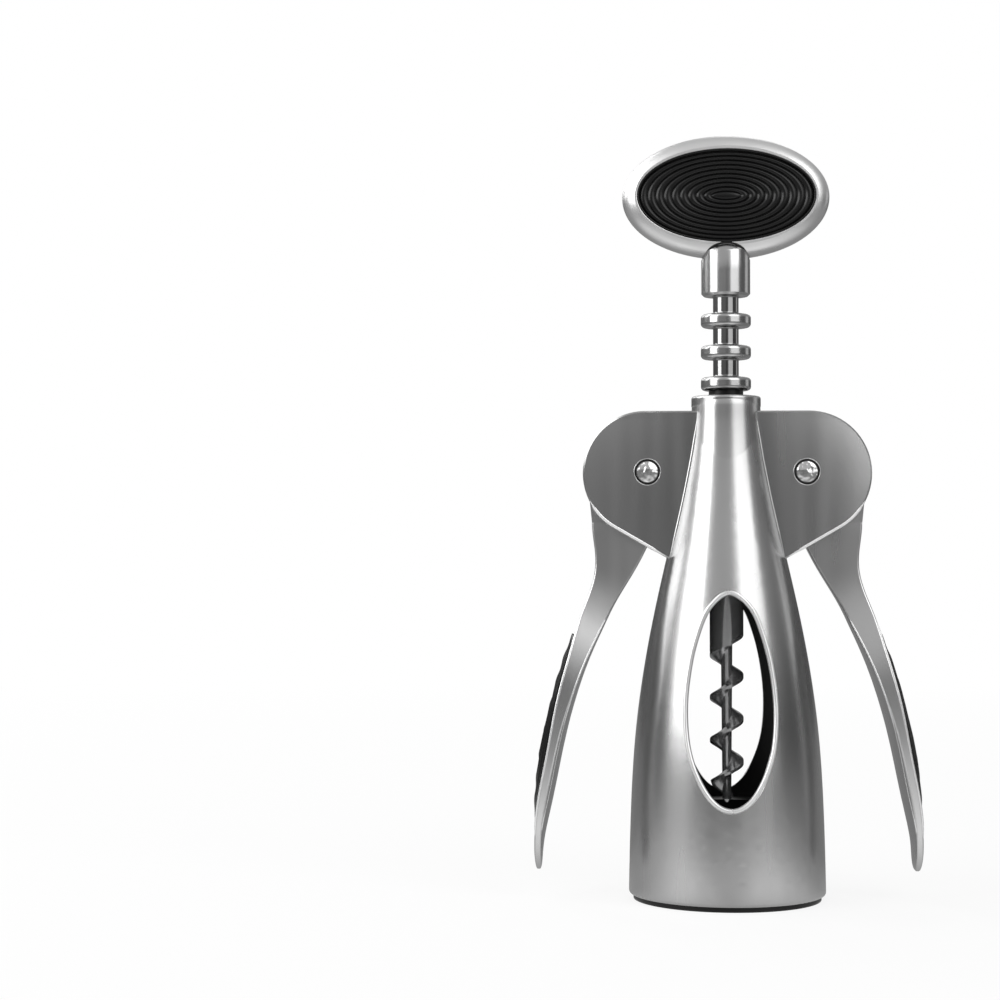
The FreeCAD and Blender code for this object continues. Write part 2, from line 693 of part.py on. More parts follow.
def wing_section(section):
    """Closed cross-section: flat outside, straight side walls, crowned inside, soft edges."""
    half, crown = section[4:]
    outer, inward, depth = section_frame(section)
    wall = depth - crown
    soft = min(WING_EDGE_ROUND, wall / 3)
    skew = soft * (1 - math.sqrt(0.5))

    def at(inset, across):
        return outer + inward * inset + Vector(0, across, 0)

    side = half - soft
    crown_inset = wall + crown * (1 - (1 - soft / half) ** 2)
    edges = [
        Part.makeLine(at(0, -side), at(0, side)),
        Part.Arc(at(0, side), at(skew, half - skew), at(soft, half)).toShape(),
        Part.makeLine(at(soft, half), at(wall - soft, half)),
        Part.Arc(at(wall - soft, half), at(wall - skew, half - skew), at(crown_inset, side)).toShape(),
        Part.Arc(at(crown_inset, side), at(depth, 0), at(crown_inset, -side)).toShape(),
        Part.Arc(at(crown_inset, -side), at(wall - skew, -half + skew), at(wall - soft, -half)).toShape(),
        Part.makeLine(at(wall - soft, -half), at(soft, -half)),
        Part.Arc(at(soft, -half), at(skew, -half + skew), at(0, -side)).toShape(),
    ]
    return Part.Wire(edges)


def wing():
    wires = [wing_section(section) for section in WING_SECTIONS]
    return Part.makeLoft(wires, True, False)


def lever():
    """Right lever: gear sector, flat neck and the wing that the hand presses."""
    neck = extrude_across(face_from_points(NECK_OUTLINE), LEVER_HALF_THICKNESS)
    eye_radius = PIN_RADIUS + LEVER_EYE_CLEARANCE
    eye = cylinder_y(eye_radius, PIVOT_X, PIVOT_Z, -EAR_HALF_THICKNESS, EAR_HALF_THICKNESS)
    return gear_sector().fuse([neck, wing()]).cut(eye)


def lever_pad(lever_shape):
    """Soft pad on the outer face of the right wing."""
    wires = []
    for section in WING_SECTIONS[WING_PAD_FIRST - 1:WING_PAD_LAST + 1]:
        half = max(section[4] - WING_PAD_INSET, WING_PAD_LEAST_HALF)
        outer, inward, depth = section_frame(section)
        across = Vector(0, half, 0)
        inside = outer + inward * min(WING_PAD_SINK, depth / 2)
        edge = outer - inward * (WING_PAD_THICKNESS - WING_PAD_CROWN)
        crest = outer - inward * WING_PAD_THICKNESS
        edges = [
            Part.makeLine(inside - across, inside + across),
            Part.makeLine(inside + across, edge + across),
            Part.Arc(edge + across, crest, edge - across).toShape(),
            Part.makeLine(edge - across, inside - across),
        ]
        wires.append(Part.Wire(edges))
    blank = Part.makeLoft(wires, True, False)
    length = WING_PAD_TOP_Z - WING_PAD_END_Z
    corner = Vector(PIVOT_X, -CUTTER_SIZE / 2, WING_PAD_END_Z)
    keep = Part.makeBox(2 * CUTTER_SIZE, CUTTER_SIZE, length, corner)
    return blank.common(keep).cut(lever_shape)


# --- all pieces -------------------------------------------------------------


def build_all():
    right_lever = lever()
    right_pad = lever_pad(right_lever)
    right_pin = pivot_pin()
    right_cap = pivot_cap()
    return {
        "bell_frame": bell_frame(),
        "bottle_guide": bottle_guide(),
        "left_pivot_pin": mirrored(right_pin),
        "right_pivot_pin": right_pin,
        "left_pivot_cap": mirrored(right_cap),
        "right_pivot_cap": right_cap,
        "guide_bush": guide_bush(),
        "rack_shaft": rack_shaft(),
        "worm": worm(),
        "worm_pin": worm_pin(),
        "handle_ring": handle_ring(),
        "handle_stud": handle_stud(),
        "front_grip_pad": grip_pad(FRONT),
        "rear_grip_pad": grip_pad(BACK),
        "left_lever": mirrored(right_lever),
        "right_lever": right_lever,
        "left_lever_pad": mirrored(right_pad),
        "right_lever_pad": right_pad,
    }


def main():
    os.makedirs("parts", exist_ok=True)
    for name, shape in build_all().items():
        shape.exportStep(os.path.join("parts", name + ".step"))
        box = shape.BoundBox
        print(
            f"{name:16s} solids {len(shape.Solids)} valid {shape.isValid()}"
            f" volume {shape.Volume:9.1f}"
            f"  x {box.XMin:.2f}..{box.XMax:.2f}  y {box.YMin:.2f}..{box.YMax:.2f}"
            f"  z {box.ZMin:.2f}..{box.ZMax:.2f}"
        )


main()
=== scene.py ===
# %% [markdown]
# # Wing corkscrew
# The tool is a hollow cast bell that stands on the neck of a bottle. A round rack slides through
# the bell's collar with a worm below it and an oval turning handle on top, and two wing levers
# with gear teeth ride up and down with the rack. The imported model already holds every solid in
# its exact place, so this lesson adds the soft parts, the finishes, the light and the camera.

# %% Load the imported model
import bpy
import math
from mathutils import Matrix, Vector


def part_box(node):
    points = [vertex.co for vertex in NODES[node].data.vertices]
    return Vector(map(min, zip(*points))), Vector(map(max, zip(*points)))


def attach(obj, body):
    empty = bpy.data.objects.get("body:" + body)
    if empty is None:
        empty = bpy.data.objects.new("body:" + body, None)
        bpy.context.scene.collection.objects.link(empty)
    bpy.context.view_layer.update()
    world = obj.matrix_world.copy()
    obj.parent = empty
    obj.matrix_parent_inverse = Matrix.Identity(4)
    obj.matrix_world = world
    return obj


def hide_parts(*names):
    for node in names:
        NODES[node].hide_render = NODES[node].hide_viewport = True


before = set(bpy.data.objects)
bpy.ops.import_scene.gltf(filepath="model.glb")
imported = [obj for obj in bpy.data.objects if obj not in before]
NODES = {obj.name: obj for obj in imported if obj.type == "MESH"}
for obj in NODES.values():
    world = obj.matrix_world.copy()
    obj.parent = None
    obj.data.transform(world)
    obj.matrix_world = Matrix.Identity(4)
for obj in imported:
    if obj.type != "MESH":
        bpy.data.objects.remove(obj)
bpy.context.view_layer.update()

MM = 0.001

# %% [markdown]
# ## Camera
# A product view of a slim tool is taken from some way off with a long lens, so that the bell's
# sides stay nearly straight. The camera stands level with the middle of the tool and a few
# degrees to its left. It is turned left and tipped up a little, which leaves the tool on the
# right of the picture, standing low in it.

# %% Camera
CAMERA_DISTANCE = 0.558
CAMERA_AZIMUTH = math.radians(-3.0)
CAMERA_HEIGHT = 0.0865
CAMERA_YAW = math.radians(2.82)
CAMERA_TILT = math.radians(1.3)
CAMERA_LENS = 79.92
CAMERA_SENSOR = 36.0

camera_data = bpy.data.cameras.new("camera")
camera_data.lens = CAMERA_LENS
camera_data.sensor_width = CAMERA_SENSOR
camera = bpy.data.objects.new("camera", camera_data)
camera.location = (
    CAMERA_DISTANCE * math.sin(CAMERA_AZIMUTH),
    -CAMERA_DISTANCE * math.cos(CAMERA_AZIMUTH),
    CAMERA_HEIGHT,
)
camera.rotation_euler = (math.radians(90) + CAMERA_TILT, 0, CAMERA_YAW)
bpy.context.scene.collection.objects.link(camera)
bpy.context.scene.camera = camera
bpy.context.scene.view_settings.view_transform = "Standard"
print("camera at", [round(value, 3) for value in camera.location])

# %% [markdown]
# ## Helpers for modelling
# Operators act on whatever is selected, as they do by hand. So every piece starts with nothing
# selected, and vertices are then picked by their place. A modifier could stay live on its piece,
# but here it is applied at once, so that the next step works on the finished mesh. Each piece
# ends with its place in its mesh, its faces turned outwards and its shading smooth.

# %% Modelling helpers
DOUBLES_DISTANCE = 0.001 * MM


def deselect_everything():
    if bpy.context.mode != "OBJECT":
        bpy.ops.object.mode_set(mode="OBJECT")
    bpy.ops.object.select_all(action="DESELECT")


def select_alone(piece):
    deselect_everything()
    piece.select_set(True)
    bpy.context.view_layer.objects.active = piece


def select_vertices(piece, wanted):
    """Selects the vertices for which wanted(place) is true, and stays in edit mode."""
    bpy.ops.object.mode_set(mode="EDIT")
    bpy.ops.mesh.select_mode(type="VERT")
    bpy.ops.mesh.select_all(action="DESELECT")
    bpy.ops.object.mode_set(mode="OBJECT")
    for vertex in piece.data.vertices:
        vertex.select = wanted(vertex.co)
    bpy.ops.object.mode_set(mode="EDIT")


def apply_modifier(piece, kind, **settings):
    """Gives the active piece a modifier with these settings and applies it."""
    modifier = piece.modifiers.new(kind.lower(), kind)
    for setting, value in settings.items():
        setattr(modifier, setting, value)
    bpy.ops.object.modifier_apply(modifier=modifier.name)


def finish_piece(piece, smooth_angle):
    """Puts the piece's place into its mesh, turns its faces outwards and smooths its shading."""
    bpy.ops.object.mode_set(mode="OBJECT")
    bpy.ops.object.transform_apply(location=True, rotation=True, scale=True)
    bpy.ops.object.mode_set(mode="EDIT")
    bpy.ops.mesh.select_all(action="SELECT")
    bpy.ops.mesh.remove_doubles(threshold=DOUBLES_DISTANCE)
    bpy.ops.mesh.normals_make_consistent(inside=False)
    bpy.ops.object.mode_set(mode="OBJECT")
    bpy.ops.object.shade_smooth_by_angle(angle=math.radians(smooth_angle))
    print(piece.name, "has", len(piece.data.polygons), "faces")


# %% [markdown]
# ## Softboxes
# Polished and satin metal shows its surroundings, so the surroundings are what make it look like
# metal. A picture of a studio could be wrapped round the scene, but lamps can be moved and dimmed
# one by one. In front, a tall softbox on the left and one on the right draw the two bright bands
# down the bell. Each is made of two lamps, one above the other, because the top of the handle
# needs less light from the left and the bell's foot needs less from the right. Narrow strips
# stand further round and light the edges.

# %% Softboxes
AIM = Vector((0, 0, 0.11))
LAMP_DISTANCE = 1.3
SOFTBOXES = {  # azimuth and elevation in degrees, width and height in metres, radiance
    "softbox_left": (-62, 20.5, 0.78, 0.84, 3.6),
    "softbox_left_high": (-62, 53, 0.78, 0.42, 1.0),
    "strip_left": (-108, 35, 0.44, 1.12, 2.7),
    "softbox_right": (40.5, 35, 0.98, 0.95, 1.9),
    "softbox_right_low": (40.5, 8.5, 0.98, 0.30, 1.2),
    "rim_left": (-147, 33, 0.30, 0.98, 2.1),
    "rim_right": (172, 33, 0.26, 0.90, 1.0),
    "low_right": (112, 7, 0.50, 0.36, 0.55),
}


def direction_to(azimuth, elevation):
    """Unit vector; azimuth 0 is in front of the tool and 90 to its right."""
    around = math.radians(azimuth)
    up = math.radians(elevation)
    level = math.cos(up)
    return Vector((math.sin(around) * level, -math.cos(around) * level, math.sin(up)))


def softbox(name, azimuth, elevation, width, height, radiance):
    data = bpy.data.lights.new(name, "AREA")
    data.shape = "RECTANGLE"
    data.size = width
    data.size_y = height
    data.energy = radiance * math.pi * width * height
    lamp = bpy.data.objects.new(name, data)
    direction = direction_to(azimuth, elevation)
    lamp.location = AIM + LAMP_DISTANCE * direction
    lamp.rotation_euler = direction.to_track_quat("Z", "Y").to_euler()
    bpy.context.scene.collection.objects.link(lamp)
    print(name, "at", [round(value, 2) for value in lamp.location])


for lamp_name, values in SOFTBOXES.items():
    softbox(lamp_name, *values)

# %% [markdown]
# ## Room and table for reflections
# Between the softboxes the metal mirrors a plain grey room, which gives the flat ears their quiet
# grey. One colour for the whole surroundings would leave the metal flat. So the room is a dome
# and the table a disc, whose levels can change from place to place. Only reflections see them.
# The camera sees the white paper under the tool instead.

# %% Dome and disc
ROOM_RADIUS = 2.2
ROOM_BOTTOM = -0.05
ROOM_SEGMENTS = 72
TABLE_LEVEL = 0.3 * MM
UNSEEN_BY = ("visible_camera", "visible_diffuse", "visible_shadow", "visible_transmission")


def unseen_stage(piece, name):
    """Keeps a piece of the studio for reflections alone."""
    piece.name = name
    for ray in UNSEEN_BY:
        setattr(piece, ray, False)
    print(name, "has", len(piece.data.polygons), "faces")


deselect_everything()
bpy.ops.mesh.primitive_uv_sphere_add(
    segments=ROOM_SEGMENTS, ring_count=ROOM_SEGMENTS // 2, radius=ROOM_RADIUS
)
room = bpy.context.object
select_vertices(room, lambda place: place.z < ROOM_BOTTOM)
bpy.ops.mesh.delete(type="VERT")
bpy.ops.object.mode_set(mode="OBJECT")
unseen_stage(room, "studio_room")

deselect_everything()
bpy.ops.mesh.primitive_circle_add(
    vertices=ROOM_SEGMENTS, radius=ROOM_RADIUS, fill_type="NGON", location=(0, 0, TABLE_LEVEL)
)
table = bpy.context.object
bpy.ops.object.transform_apply(location=True)
unseen_stage(table, "studio_table")

# %% [markdown]
# ## Helpers for materials
# A finish is a few textures in the piece's own space: broad ones that change its colour and gloss
# a little, and fine ones that become a bump. Object coordinates are used because they are real
# metres on the piece, so a grain has its true size on every part. One function adds every node. It
# sets an input that is given a number or a colour, and links one that is given a node's output.

# %% Material helpers
def new_material(name):
    material = bpy.data.materials.new(name)
    material.use_nodes = True
    tree = material.node_tree
    return material, tree, tree.nodes["Principled BSDF"]


def feed(node, inputs):
    """Sets a node's inputs to numbers or colours, or links them to other nodes' outputs."""
    for name, value in inputs.items():
        if isinstance(value, bpy.types.NodeSocket):
            node.id_data.links.new(value, node.inputs[name])
        else:
            node.inputs[name].default_value = value


def add_node(tree, kind, inputs, **settings):
    node = tree.nodes.new("ShaderNode" + kind)
    for setting, value in settings.items():
        setattr(node, setting, value)
    feed(node, inputs)
    return node


def show(tree, surface):
    feed(tree.nodes["Material Output"], {"Surface": surface})


def object_place(tree, stretch=(1, 1, 1)):
    """Object coordinates, stretched along the axes."""
    place = add_node(tree, "TexCoord", {}).outputs["Object"]
    return add_node(tree, "Mapping", {"Vector": place, "Scale": stretch}).outputs["Vector"]


def split(tree, place):
    parts = add_node(tree, "SeparateXYZ", {"Vector": place}).outputs
    return parts["X"], parts["Y"], parts["Z"]


def vector_length(tree, vector):
    return add_node(tree, "VectorMath", {0: vector}, operation="LENGTH").outputs["Value"]


def noise(tree, place, per_metre, detail=2.0):
    inputs = {"Vector": place, "Scale": per_metre, "Detail": detail}
    return add_node(tree, "TexNoise", inputs).outputs["Fac"]


def ranged(tree, value, lowest, highest, start=0.3, end=0.7):
    """Spreads value from start..end over lowest..highest."""
    limits = {"From Min": start, "From Max": end, "To Min": lowest, "To Max": highest}
    return add_node(tree, "MapRange", {"Value": value, **limits}).outputs["Result"]


def two_colours(tree, value, first, second):
    """Colour that runs from the first to the second as value runs from 0 to 1."""
    ramp = add_node(tree, "ValToRGB", {"Fac": value})
    ramp.color_ramp.elements[0].color = (*first, 1)
    ramp.color_ramp.elements[1].color = (*second, 1)
    return ramp.outputs["Color"]


def two_greys(tree, value, greys):
    dark, light = greys
    return two_colours(tree, value, (dark, dark, dark), (light, light, light))


def bumped(tree, height, depth, under=None):
    """Bump of that depth in metres, laid over another bump if one is given."""
    bump = add_node(tree, "Bump", {"Strength": 1.0, "Distance": depth, "Height": height})
    if under is not None:
        feed(bump, {"Normal": under})
    return bump.outputs["Normal"]


def math_node(tree, operation, first, second=0):
    return add_node(tree, "Math", {0: first, 1: second}, operation=operation).outputs["Value"]


def product(tree, first, second):
    return math_node(tree, "MULTIPLY", first, second)


def mixed(tree, share, first, second):
    return add_node(tree, "MixShader", {"Fac": share, 1: first, 2: second}).outputs["Shader"]


def give(node_name, material):
    """Puts the material in every slot of a solid."""
    for material_slot in NODES[node_name].material_slots:
        material_slot.material = material


# %% [markdown]
# ## Levels of the room and the table
# The dome gets lighter from low to high and darker to the right and behind. A dark gap between
# the softboxes gives the bell its dark middle band. The table has soft pools of light, because
# the handle's underside and the bell's foot mirror what lies in front of them. Both surfaces glow
# by themselves, so that no lamp has to be aimed at them.

# %% Room and table paint
ROOM_LOW = 0.15
ROOM_HIGH = 0.55
ROOM_DIM_UP_TO = 0.25
ROOM_LIGHT_FROM = 0.70
ROOM_RIGHT_FROM = 0.4 * ROOM_RADIUS
ROOM_RIGHT_SHARE = 0.42
ROOM_REAR_SHARE = 0.7
GAP_X = 0.14
GAP_HALF_WIDTH = 0.36
GAP_UP_TO = 0.34
GAP_FADES_BY = 0.55
GAP_FRONT = -0.5  # y up to which the gap is at its darkest; it fades by y = 0
GAP_SHARE = 0.30
TABLE_GREY = 0.26
WHITE = (1, 1, 1, 1)
POOLS = [  # (x, y, level in the middle, radius) of each pool of light on the table
    (-0.150, -0.080, 0.90, 0.20),
    (0.085, -0.136, 0.90, 0.20),
    (-0.050, -0.060, 1.30, 0.08),
    (0.050, -0.060, 1.30, 0.08),
    (0.0, -0.095, 0.95, 0.08),
]


def emission(tree, strength):
    return add_node(tree, "Emission", {"Color": WHITE, "Strength": strength}).outputs["Emission"]


def glowing(name, level_of):
    """Material that only glows; level_of(tree, place) gives its strength."""
    material, tree, shader = new_material(name)
    tree.nodes.remove(shader)
    show(tree, emission(tree, level_of(tree, object_place(tree))))
    return material


def room_level(tree, place):
    """Dim low down, to the right, behind and in the gap in front; lighter higher up."""
    x, y, z = split(tree, place)
    upwards = ranged(tree, z, ROOM_LOW, ROOM_HIGH, ROOM_DIM_UP_TO, ROOM_LIGHT_FROM)
    sideways = ranged(tree, x, 1, ROOM_RIGHT_SHARE, ROOM_RIGHT_FROM, ROOM_RADIUS)
    backwards = ranged(tree, y, 1, ROOM_REAR_SHARE, 0, ROOM_RADIUS)
    walls = product(tree, product(tree, upwards, sideways), backwards)
    off_gap = math_node(tree, "ABSOLUTE", math_node(tree, "SUBTRACT", x, GAP_X))
    across = ranged(tree, off_gap, GAP_SHARE, 1, 0, GAP_HALF_WIDTH)
    above = ranged(tree, z, 0, 1, GAP_UP_TO, GAP_FADES_BY)
    behind = ranged(tree, y, 0, 1, GAP_FRONT, 0)
    gap = math_node(tree, "MAXIMUM", across, math_node(tree, "MAXIMUM", above, behind))
    return product(tree, walls, gap)


def table_level(tree, place):
    """Grey with soft pools of light on it."""
    level = TABLE_GREY
    for x, y, peak, radius in POOLS:
        places = {0: place, 1: (x, y, 0)}
        away = add_node(tree, "VectorMath", places, operation="DISTANCE").outputs["Value"]
        pool = ranged(tree, away, peak, TABLE_GREY, 0, radius)
        level = math_node(tree, "MAXIMUM", level, pool)
    return level


room.data.materials.append(glowing("room_paint", room_level))
table.data.materials.append(glowing("table_paint", table_level))
print("room and table glow, with", len(POOLS), "pools of light")

# %% [markdown]
# ## Sky and paper
# A white background could come from more light on the paper, but that would wash out the tool as
# well. So the sky is white only for rays that come straight from the camera, or that metal or
# glass sends on, and for all others it fills the shadows at less than half of that. The paper
# works in the same way. It glows a little less under the tool, where it shows the soft shadow.

# %% Sky
SKY_FILL = 0.42
SKY_WHITE = 1.0


def seen_directly(tree):
    """1 for rays from the camera, and for those that metal or glass sends on."""
    rays = add_node(tree, "LightPath", {}).outputs
    direct = math_node(tree, "MAXIMUM", rays["Is Camera Ray"], rays["Is Glossy Ray"])
    return math_node(tree, "MAXIMUM", direct, rays["Is Transmission Ray"])


def white_sky(tree, strength):
    inputs = {"Color": WHITE, "Strength": strength}
    return add_node(tree, "Background", inputs).outputs["Background"]


world = bpy.data.worlds.new("studio_world")
bpy.context.scene.world = world
world.use_nodes = True
sky = world.node_tree
sky.nodes.remove(sky.nodes["Background"])
both_skies = mixed(sky, seen_directly(sky), white_sky(sky, SKY_FILL), white_sky(sky, SKY_WHITE))
feed(sky.nodes["World Output"], {"Surface": both_skies})
print("sky fills the shadows at", SKY_FILL)

# %% Paper
FLOOR_SIZE = 8.0
FLOOR_COLOUR = (0.88, 0.88, 0.88)
FLOOR_ROUGHNESS = 0.9
FLOOR_NEAR = 0.05
FLOOR_FAR = 0.9
FLOOR_NEAR_GLOW = 0.86


def floor_paper():
    """Pale paper that shows the tool's soft shadow near it and runs out to plain white."""
    material, tree, shader = new_material("floor_paper")
    feed(shader, {
        "Base Color": (*FLOOR_COLOUR, 1),
        "Roughness": FLOOR_ROUGHNESS,
        "Specular IOR Level": 0,
    })
    away = vector_length(tree, object_place(tree))
    glow = ranged(tree, away, FLOOR_NEAR_GLOW, 1, FLOOR_NEAR, FLOOR_FAR)
    share = product(tree, glow, seen_directly(tree))
    show(tree, mixed(tree, share, shader.outputs["BSDF"], emission(tree, 1)))
    return material


deselect_everything()
bpy.ops.mesh.primitive_plane_add(size=FLOOR_SIZE)
floor = bpy.context.object
floor.name = "floor"
floor.data.materials.append(floor_paper())
print("floor is", FLOOR_SIZE, "m wide")

# %% [markdown]
# ## Satin nickel
# The bell, ears, levers and handle are zinc castings with a satin nickel plate. Under a soft light
# it is a calm grey with wide highlights. Three things keep it from looking like plain grey
# plastic: it is fully metallic, its gloss wanders a little in long vertical streaks from the
# wiping it gets before plating, and it has a very fine blasted grain.

# %% Satin nickel
STREAK_STRETCH = (1.0, 1.0, 0.06)
STREAK_PER_METRE = 260.0
STREAK_DETAIL = 0.5
PATCH_PER_METRE = 70.0
GRAIN_PER_METRE = 2600.0
GRAIN_DETAIL = 4.0
GRAIN_DEPTH = 0.0025 * MM
FINE_GRAIN_DEPTH = 0.0008 * MM


def satin_metal(name, greys, roughness, grain_depth=GRAIN_DEPTH, metallic=1.0):
    """Plated casting; greys and roughness are each the two limits that it wanders between."""
    material, tree, shader = new_material(name)
    streaks = noise(tree, object_place(tree, STREAK_STRETCH), STREAK_PER_METRE, STREAK_DETAIL)
    patches = noise(tree, object_place(tree), PATCH_PER_METRE)
    grain = noise(tree, object_place(tree), GRAIN_PER_METRE, GRAIN_DETAIL)
    feed(shader, {
        "Base Color": two_greys(tree, patches, greys),
        "Metallic": metallic,
        "Roughness": ranged(tree, streaks, *roughness),
        "Normal": bumped(tree, grain, grain_depth),
    })
    return material


def finish_of(material):
    """A material's tree and shader, and what is linked to the shader's inputs."""
    tree = material.node_tree
    shader = tree.nodes["Principled BSDF"]
    linked = {socket.name: socket.links[0].from_socket for socket in shader.inputs if socket.links}
    return tree, shader, linked


# painted light: the levers' and the handle's plate is the same satin nickel as the bell's, painted
# lighter where it catches more light, the handle most
lit_lever_metal = satin_metal("satin_nickel_lever_lit", (0.58, 0.62), (0.27, 0.30))
lit_handle_metal = satin_metal("satin_nickel_handle_lit", (0.79, 0.83), (0.34, 0.38), FINE_GRAIN_DEPTH)
give("left_lever", lit_lever_metal)
give("right_lever", lit_lever_metal)
give("handle_ring", lit_handle_metal)
print("satin nickel on levers and handle")

# %% [markdown]
# ## Painted shade inside the bell
# The bell's hollow lies in deep shade, so its inside is painted nearly black as shade, while its
# outside is bright. Both belong to one solid, so one material has to tell them apart. It
# compares a point's distance from the axis with a line half way through the wall. The gap round
# each pin's head lies in shade too, and is painted dark in the same way, found by its distance
# from the pin. The ears' cheeks are cast flat, but polishing rounds them off a little towards
# their outer ends. A bump whose height falls away with the square of the distance from the bell
# gives that.

# %% Painted shade of the bell
BELL_MID_WALL = [  # (height, radius half way through the wall), mm
    (0, 22.9),
    (22, 22.6),
    (44, 21.1),
    (60, 18.8),
    (76, 15.6),
    (90, 12.4),
    (106, 9.2),
    (119, 7.1),
    (126, 6.9),
]
# painted shade: near-black colour of the bell's shaded hollow and of the pins' recesses
PAINTED_SHADE_COLOUR = (0.018, 0.018, 0.018)
PAINTED_SHADE_ROUGHNESS = 0.6
PIVOT = (19.75 * MM, 106.0 * MM)
RECESS_RADIUS = 3.2 * MM
RECESS_MOUTH = 4.42 * MM


def length_of(tree, first, second):
    """Length of the flat vector with these two parts."""
    flat = add_node(tree, "CombineXYZ", {"X": first, "Y": second})
    return vector_length(tree, flat.outputs["Vector"])


def from_pivot(tree, x, z):
    """Distance from the nearer pin's axis."""
    out = math_node(tree, "SUBTRACT", math_node(tree, "ABSOLUTE", x), PIVOT[0])
    return length_of(tree, out, math_node(tree, "SUBTRACT", z, PIVOT[1]))


def mid_wall(tree, height):
    """Radius half way through the bell's wall at a height."""
    top = BELL_MID_WALL[-1][0]
    widest = BELL_MID_WALL[0][1]
    outline = add_node(tree, "ValToRGB", {"Fac": ranged(tree, height, 0, 1, 0, top * MM)})
    stops = outline.color_ramp.elements
    for level, radius in BELL_MID_WALL:
        share = radius / widest
        if level in (0, top):
            stop = stops[0] if level == 0 else stops[len(stops) - 1]
        else:
            stop = stops.new(level / top)
        stop.color = (share, share, share, 1)
    return product(tree, outline.outputs["Color"], widest * MM)


def painted_shade_places(tree, x, y, z, wall):
    """1 where shade is painted: inside the bell and in the recesses round the pins."""
    hollow = math_node(tree, "LESS_THAN", length_of(tree, x, y), wall)
    near_pin = math_node(tree, "LESS_THAN", from_pivot(tree, x, z), RECESS_RADIUS)
    below_face = math_node(tree, "LESS_THAN", math_node(tree, "ABSOLUTE", y), RECESS_MOUTH)
    return math_node(tree, "MAXIMUM", hollow, product(tree, near_pin, below_face))


def with_painted_shade(tree, shader, dark, roughness=PAINTED_SHADE_ROUGHNESS):
    """The shader's finish, with painted shade, nearly black, where dark is 1."""
    inputs = {"Base Color": (*PAINTED_SHADE_COLOUR, 1), "Roughness": roughness}
    shade = add_node(tree, "BsdfPrincipled", inputs)
    show(tree, mixed(tree, dark, shader.outputs["BSDF"], shade.outputs["BSDF"]))


# %% Bell material
BELL_GREYS = (0.49, 0.53)
BELL_GLOSS = (0.23, 0.28)
EAR_START = 1.7 * MM
EAR_REACH = 20.0 * MM
EAR_ROUNDING = 2.1
EAR_TOP_FROM = 100.0 * MM
EAR_TOP_ROUNDING = 0.9
ONE_METRE = 1.0  # depth of a bump whose height is already in metres


def ear_rounding(tree, x, z, wall):
    """Height of the ear's face, falling away towards its outer end and its top."""
    edge = math_node(tree, "ADD", wall, EAR_START)
    out = math_node(tree, "ABSOLUTE", x)
    along = math_node(tree, "MAXIMUM", math_node(tree, "SUBTRACT", out, edge))
    above = math_node(tree, "MAXIMUM", math_node(tree, "SUBTRACT", z, EAR_TOP_FROM))
    outer_fall = product(tree, math_node(tree, "POWER", along, 2), -EAR_ROUNDING)
    top_share = -EAR_TOP_ROUNDING / EAR_REACH
    top_fall = product(tree, math_node(tree, "POWER", above, 2), top_share)
    return math_node(tree, "ADD", outer_fall, product(tree, top_fall, along))


def bell_finish():
    material = satin_metal("satin_nickel_bell", BELL_GREYS, BELL_GLOSS)
    tree, shader, linked = finish_of(material)
    x, y, z = split(tree, object_place(tree))
    wall = mid_wall(tree, z)
    height = ear_rounding(tree, x, z, wall)
    feed(shader, {"Normal": bumped(tree, height, ONE_METRE, under=linked["Normal"])})
    # painted shade inside the bell and round the pins
    with_painted_shade(tree, shader, painted_shade_places(tree, x, y, z, wall))
    return material


bell_metal = bell_finish()
give("bell_frame", bell_metal)
print("bell is bright outside and dark inside")

# %% [markdown]
# ## Turned rack
# The rack is turned on a lathe, which leaves fine rings of tool marks round it. They are a Wave
# texture along Z, used as a very shallow bump. Modelled grooves would be far too fine to see one
# by one. The slim core between the rings is glossier than they are, and is painted darker as
# shade, because it lies in shadow between the rings. The material finds it by its distance from
# the axis.

# %% Rack
RACK_GREYS = (0.50, 0.54)
RACK_GLOSS = (0.18, 0.22)
TOOL_MARK_PER_METRE = 1200.0
TOOL_MARK_WAVER = 1.5
TOOL_MARK_DEPTH = 0.003 * MM
CORE_EDGE = (3.6 * MM, 4.6 * MM)
CORE_GLOSS_SHARE = 0.3
# painted shade: share of its colour that the core keeps between the rings
CORE_SHADE_SHARE = 0.6


def turned_metal():
    material = satin_metal("turned_rack", RACK_GREYS, RACK_GLOSS, FINE_GRAIN_DEPTH)
    tree, shader, linked = finish_of(material)
    place = object_place(tree)
    x, y, _ = split(tree, place)
    from_axis = length_of(tree, x, y)
    gloss_share = ranged(tree, from_axis, CORE_GLOSS_SHARE, 1, *CORE_EDGE)
    core_shade_share = ranged(tree, from_axis, CORE_SHADE_SHARE, 1, *CORE_EDGE)
    # painted shade on the core
    core_shade = {0: linked["Base Color"], "Scale": core_shade_share}
    waves = {"Vector": place, "Scale": TOOL_MARK_PER_METRE, "Distortion": TOOL_MARK_WAVER}
    marks = add_node(tree, "TexWave", waves, bands_direction="Z").outputs["Fac"]
    feed(shader, {
        "Base Color": add_node(tree, "VectorMath", core_shade, operation="SCALE").outputs["Vector"],
        "Roughness": product(tree, linked["Roughness"], gloss_share),
        "Normal": bumped(tree, marks, TOOL_MARK_DEPTH, under=linked["Normal"]),
    })
    return material


rack_metal = turned_metal()
give("rack_shaft", rack_metal)
print("rack done")

# %% [markdown]
# ## Polished pins
# The pins' heads are polished, a little dented from the press, and dark round the rim, where the
# light doesn't reach into the recess. The dents are a broader noise used as a bump, and the scuffs
# a finer one that also changes the colour and the gloss. The worm's pin and the handle's stud are
# hidden inside and are plain steel.

# %% Pins
PIN_GREYS = (0.62, 0.74)
PIN_GLOSS = (0.12, 0.22)
PIN_HEAD_EDGE = (2.5 * MM, 2.62 * MM)
PIN_EDGE_ROUGHNESS = 0.5
SCUFF_PER_METRE = 900.0
SCUFF_DETAIL = 4.0
SCUFF_DEPTH = 0.006 * MM
DENT_PER_METRE = 520.0
DENT_DETAIL = 1.0
DENT_DEPTH = 0.6 * MM


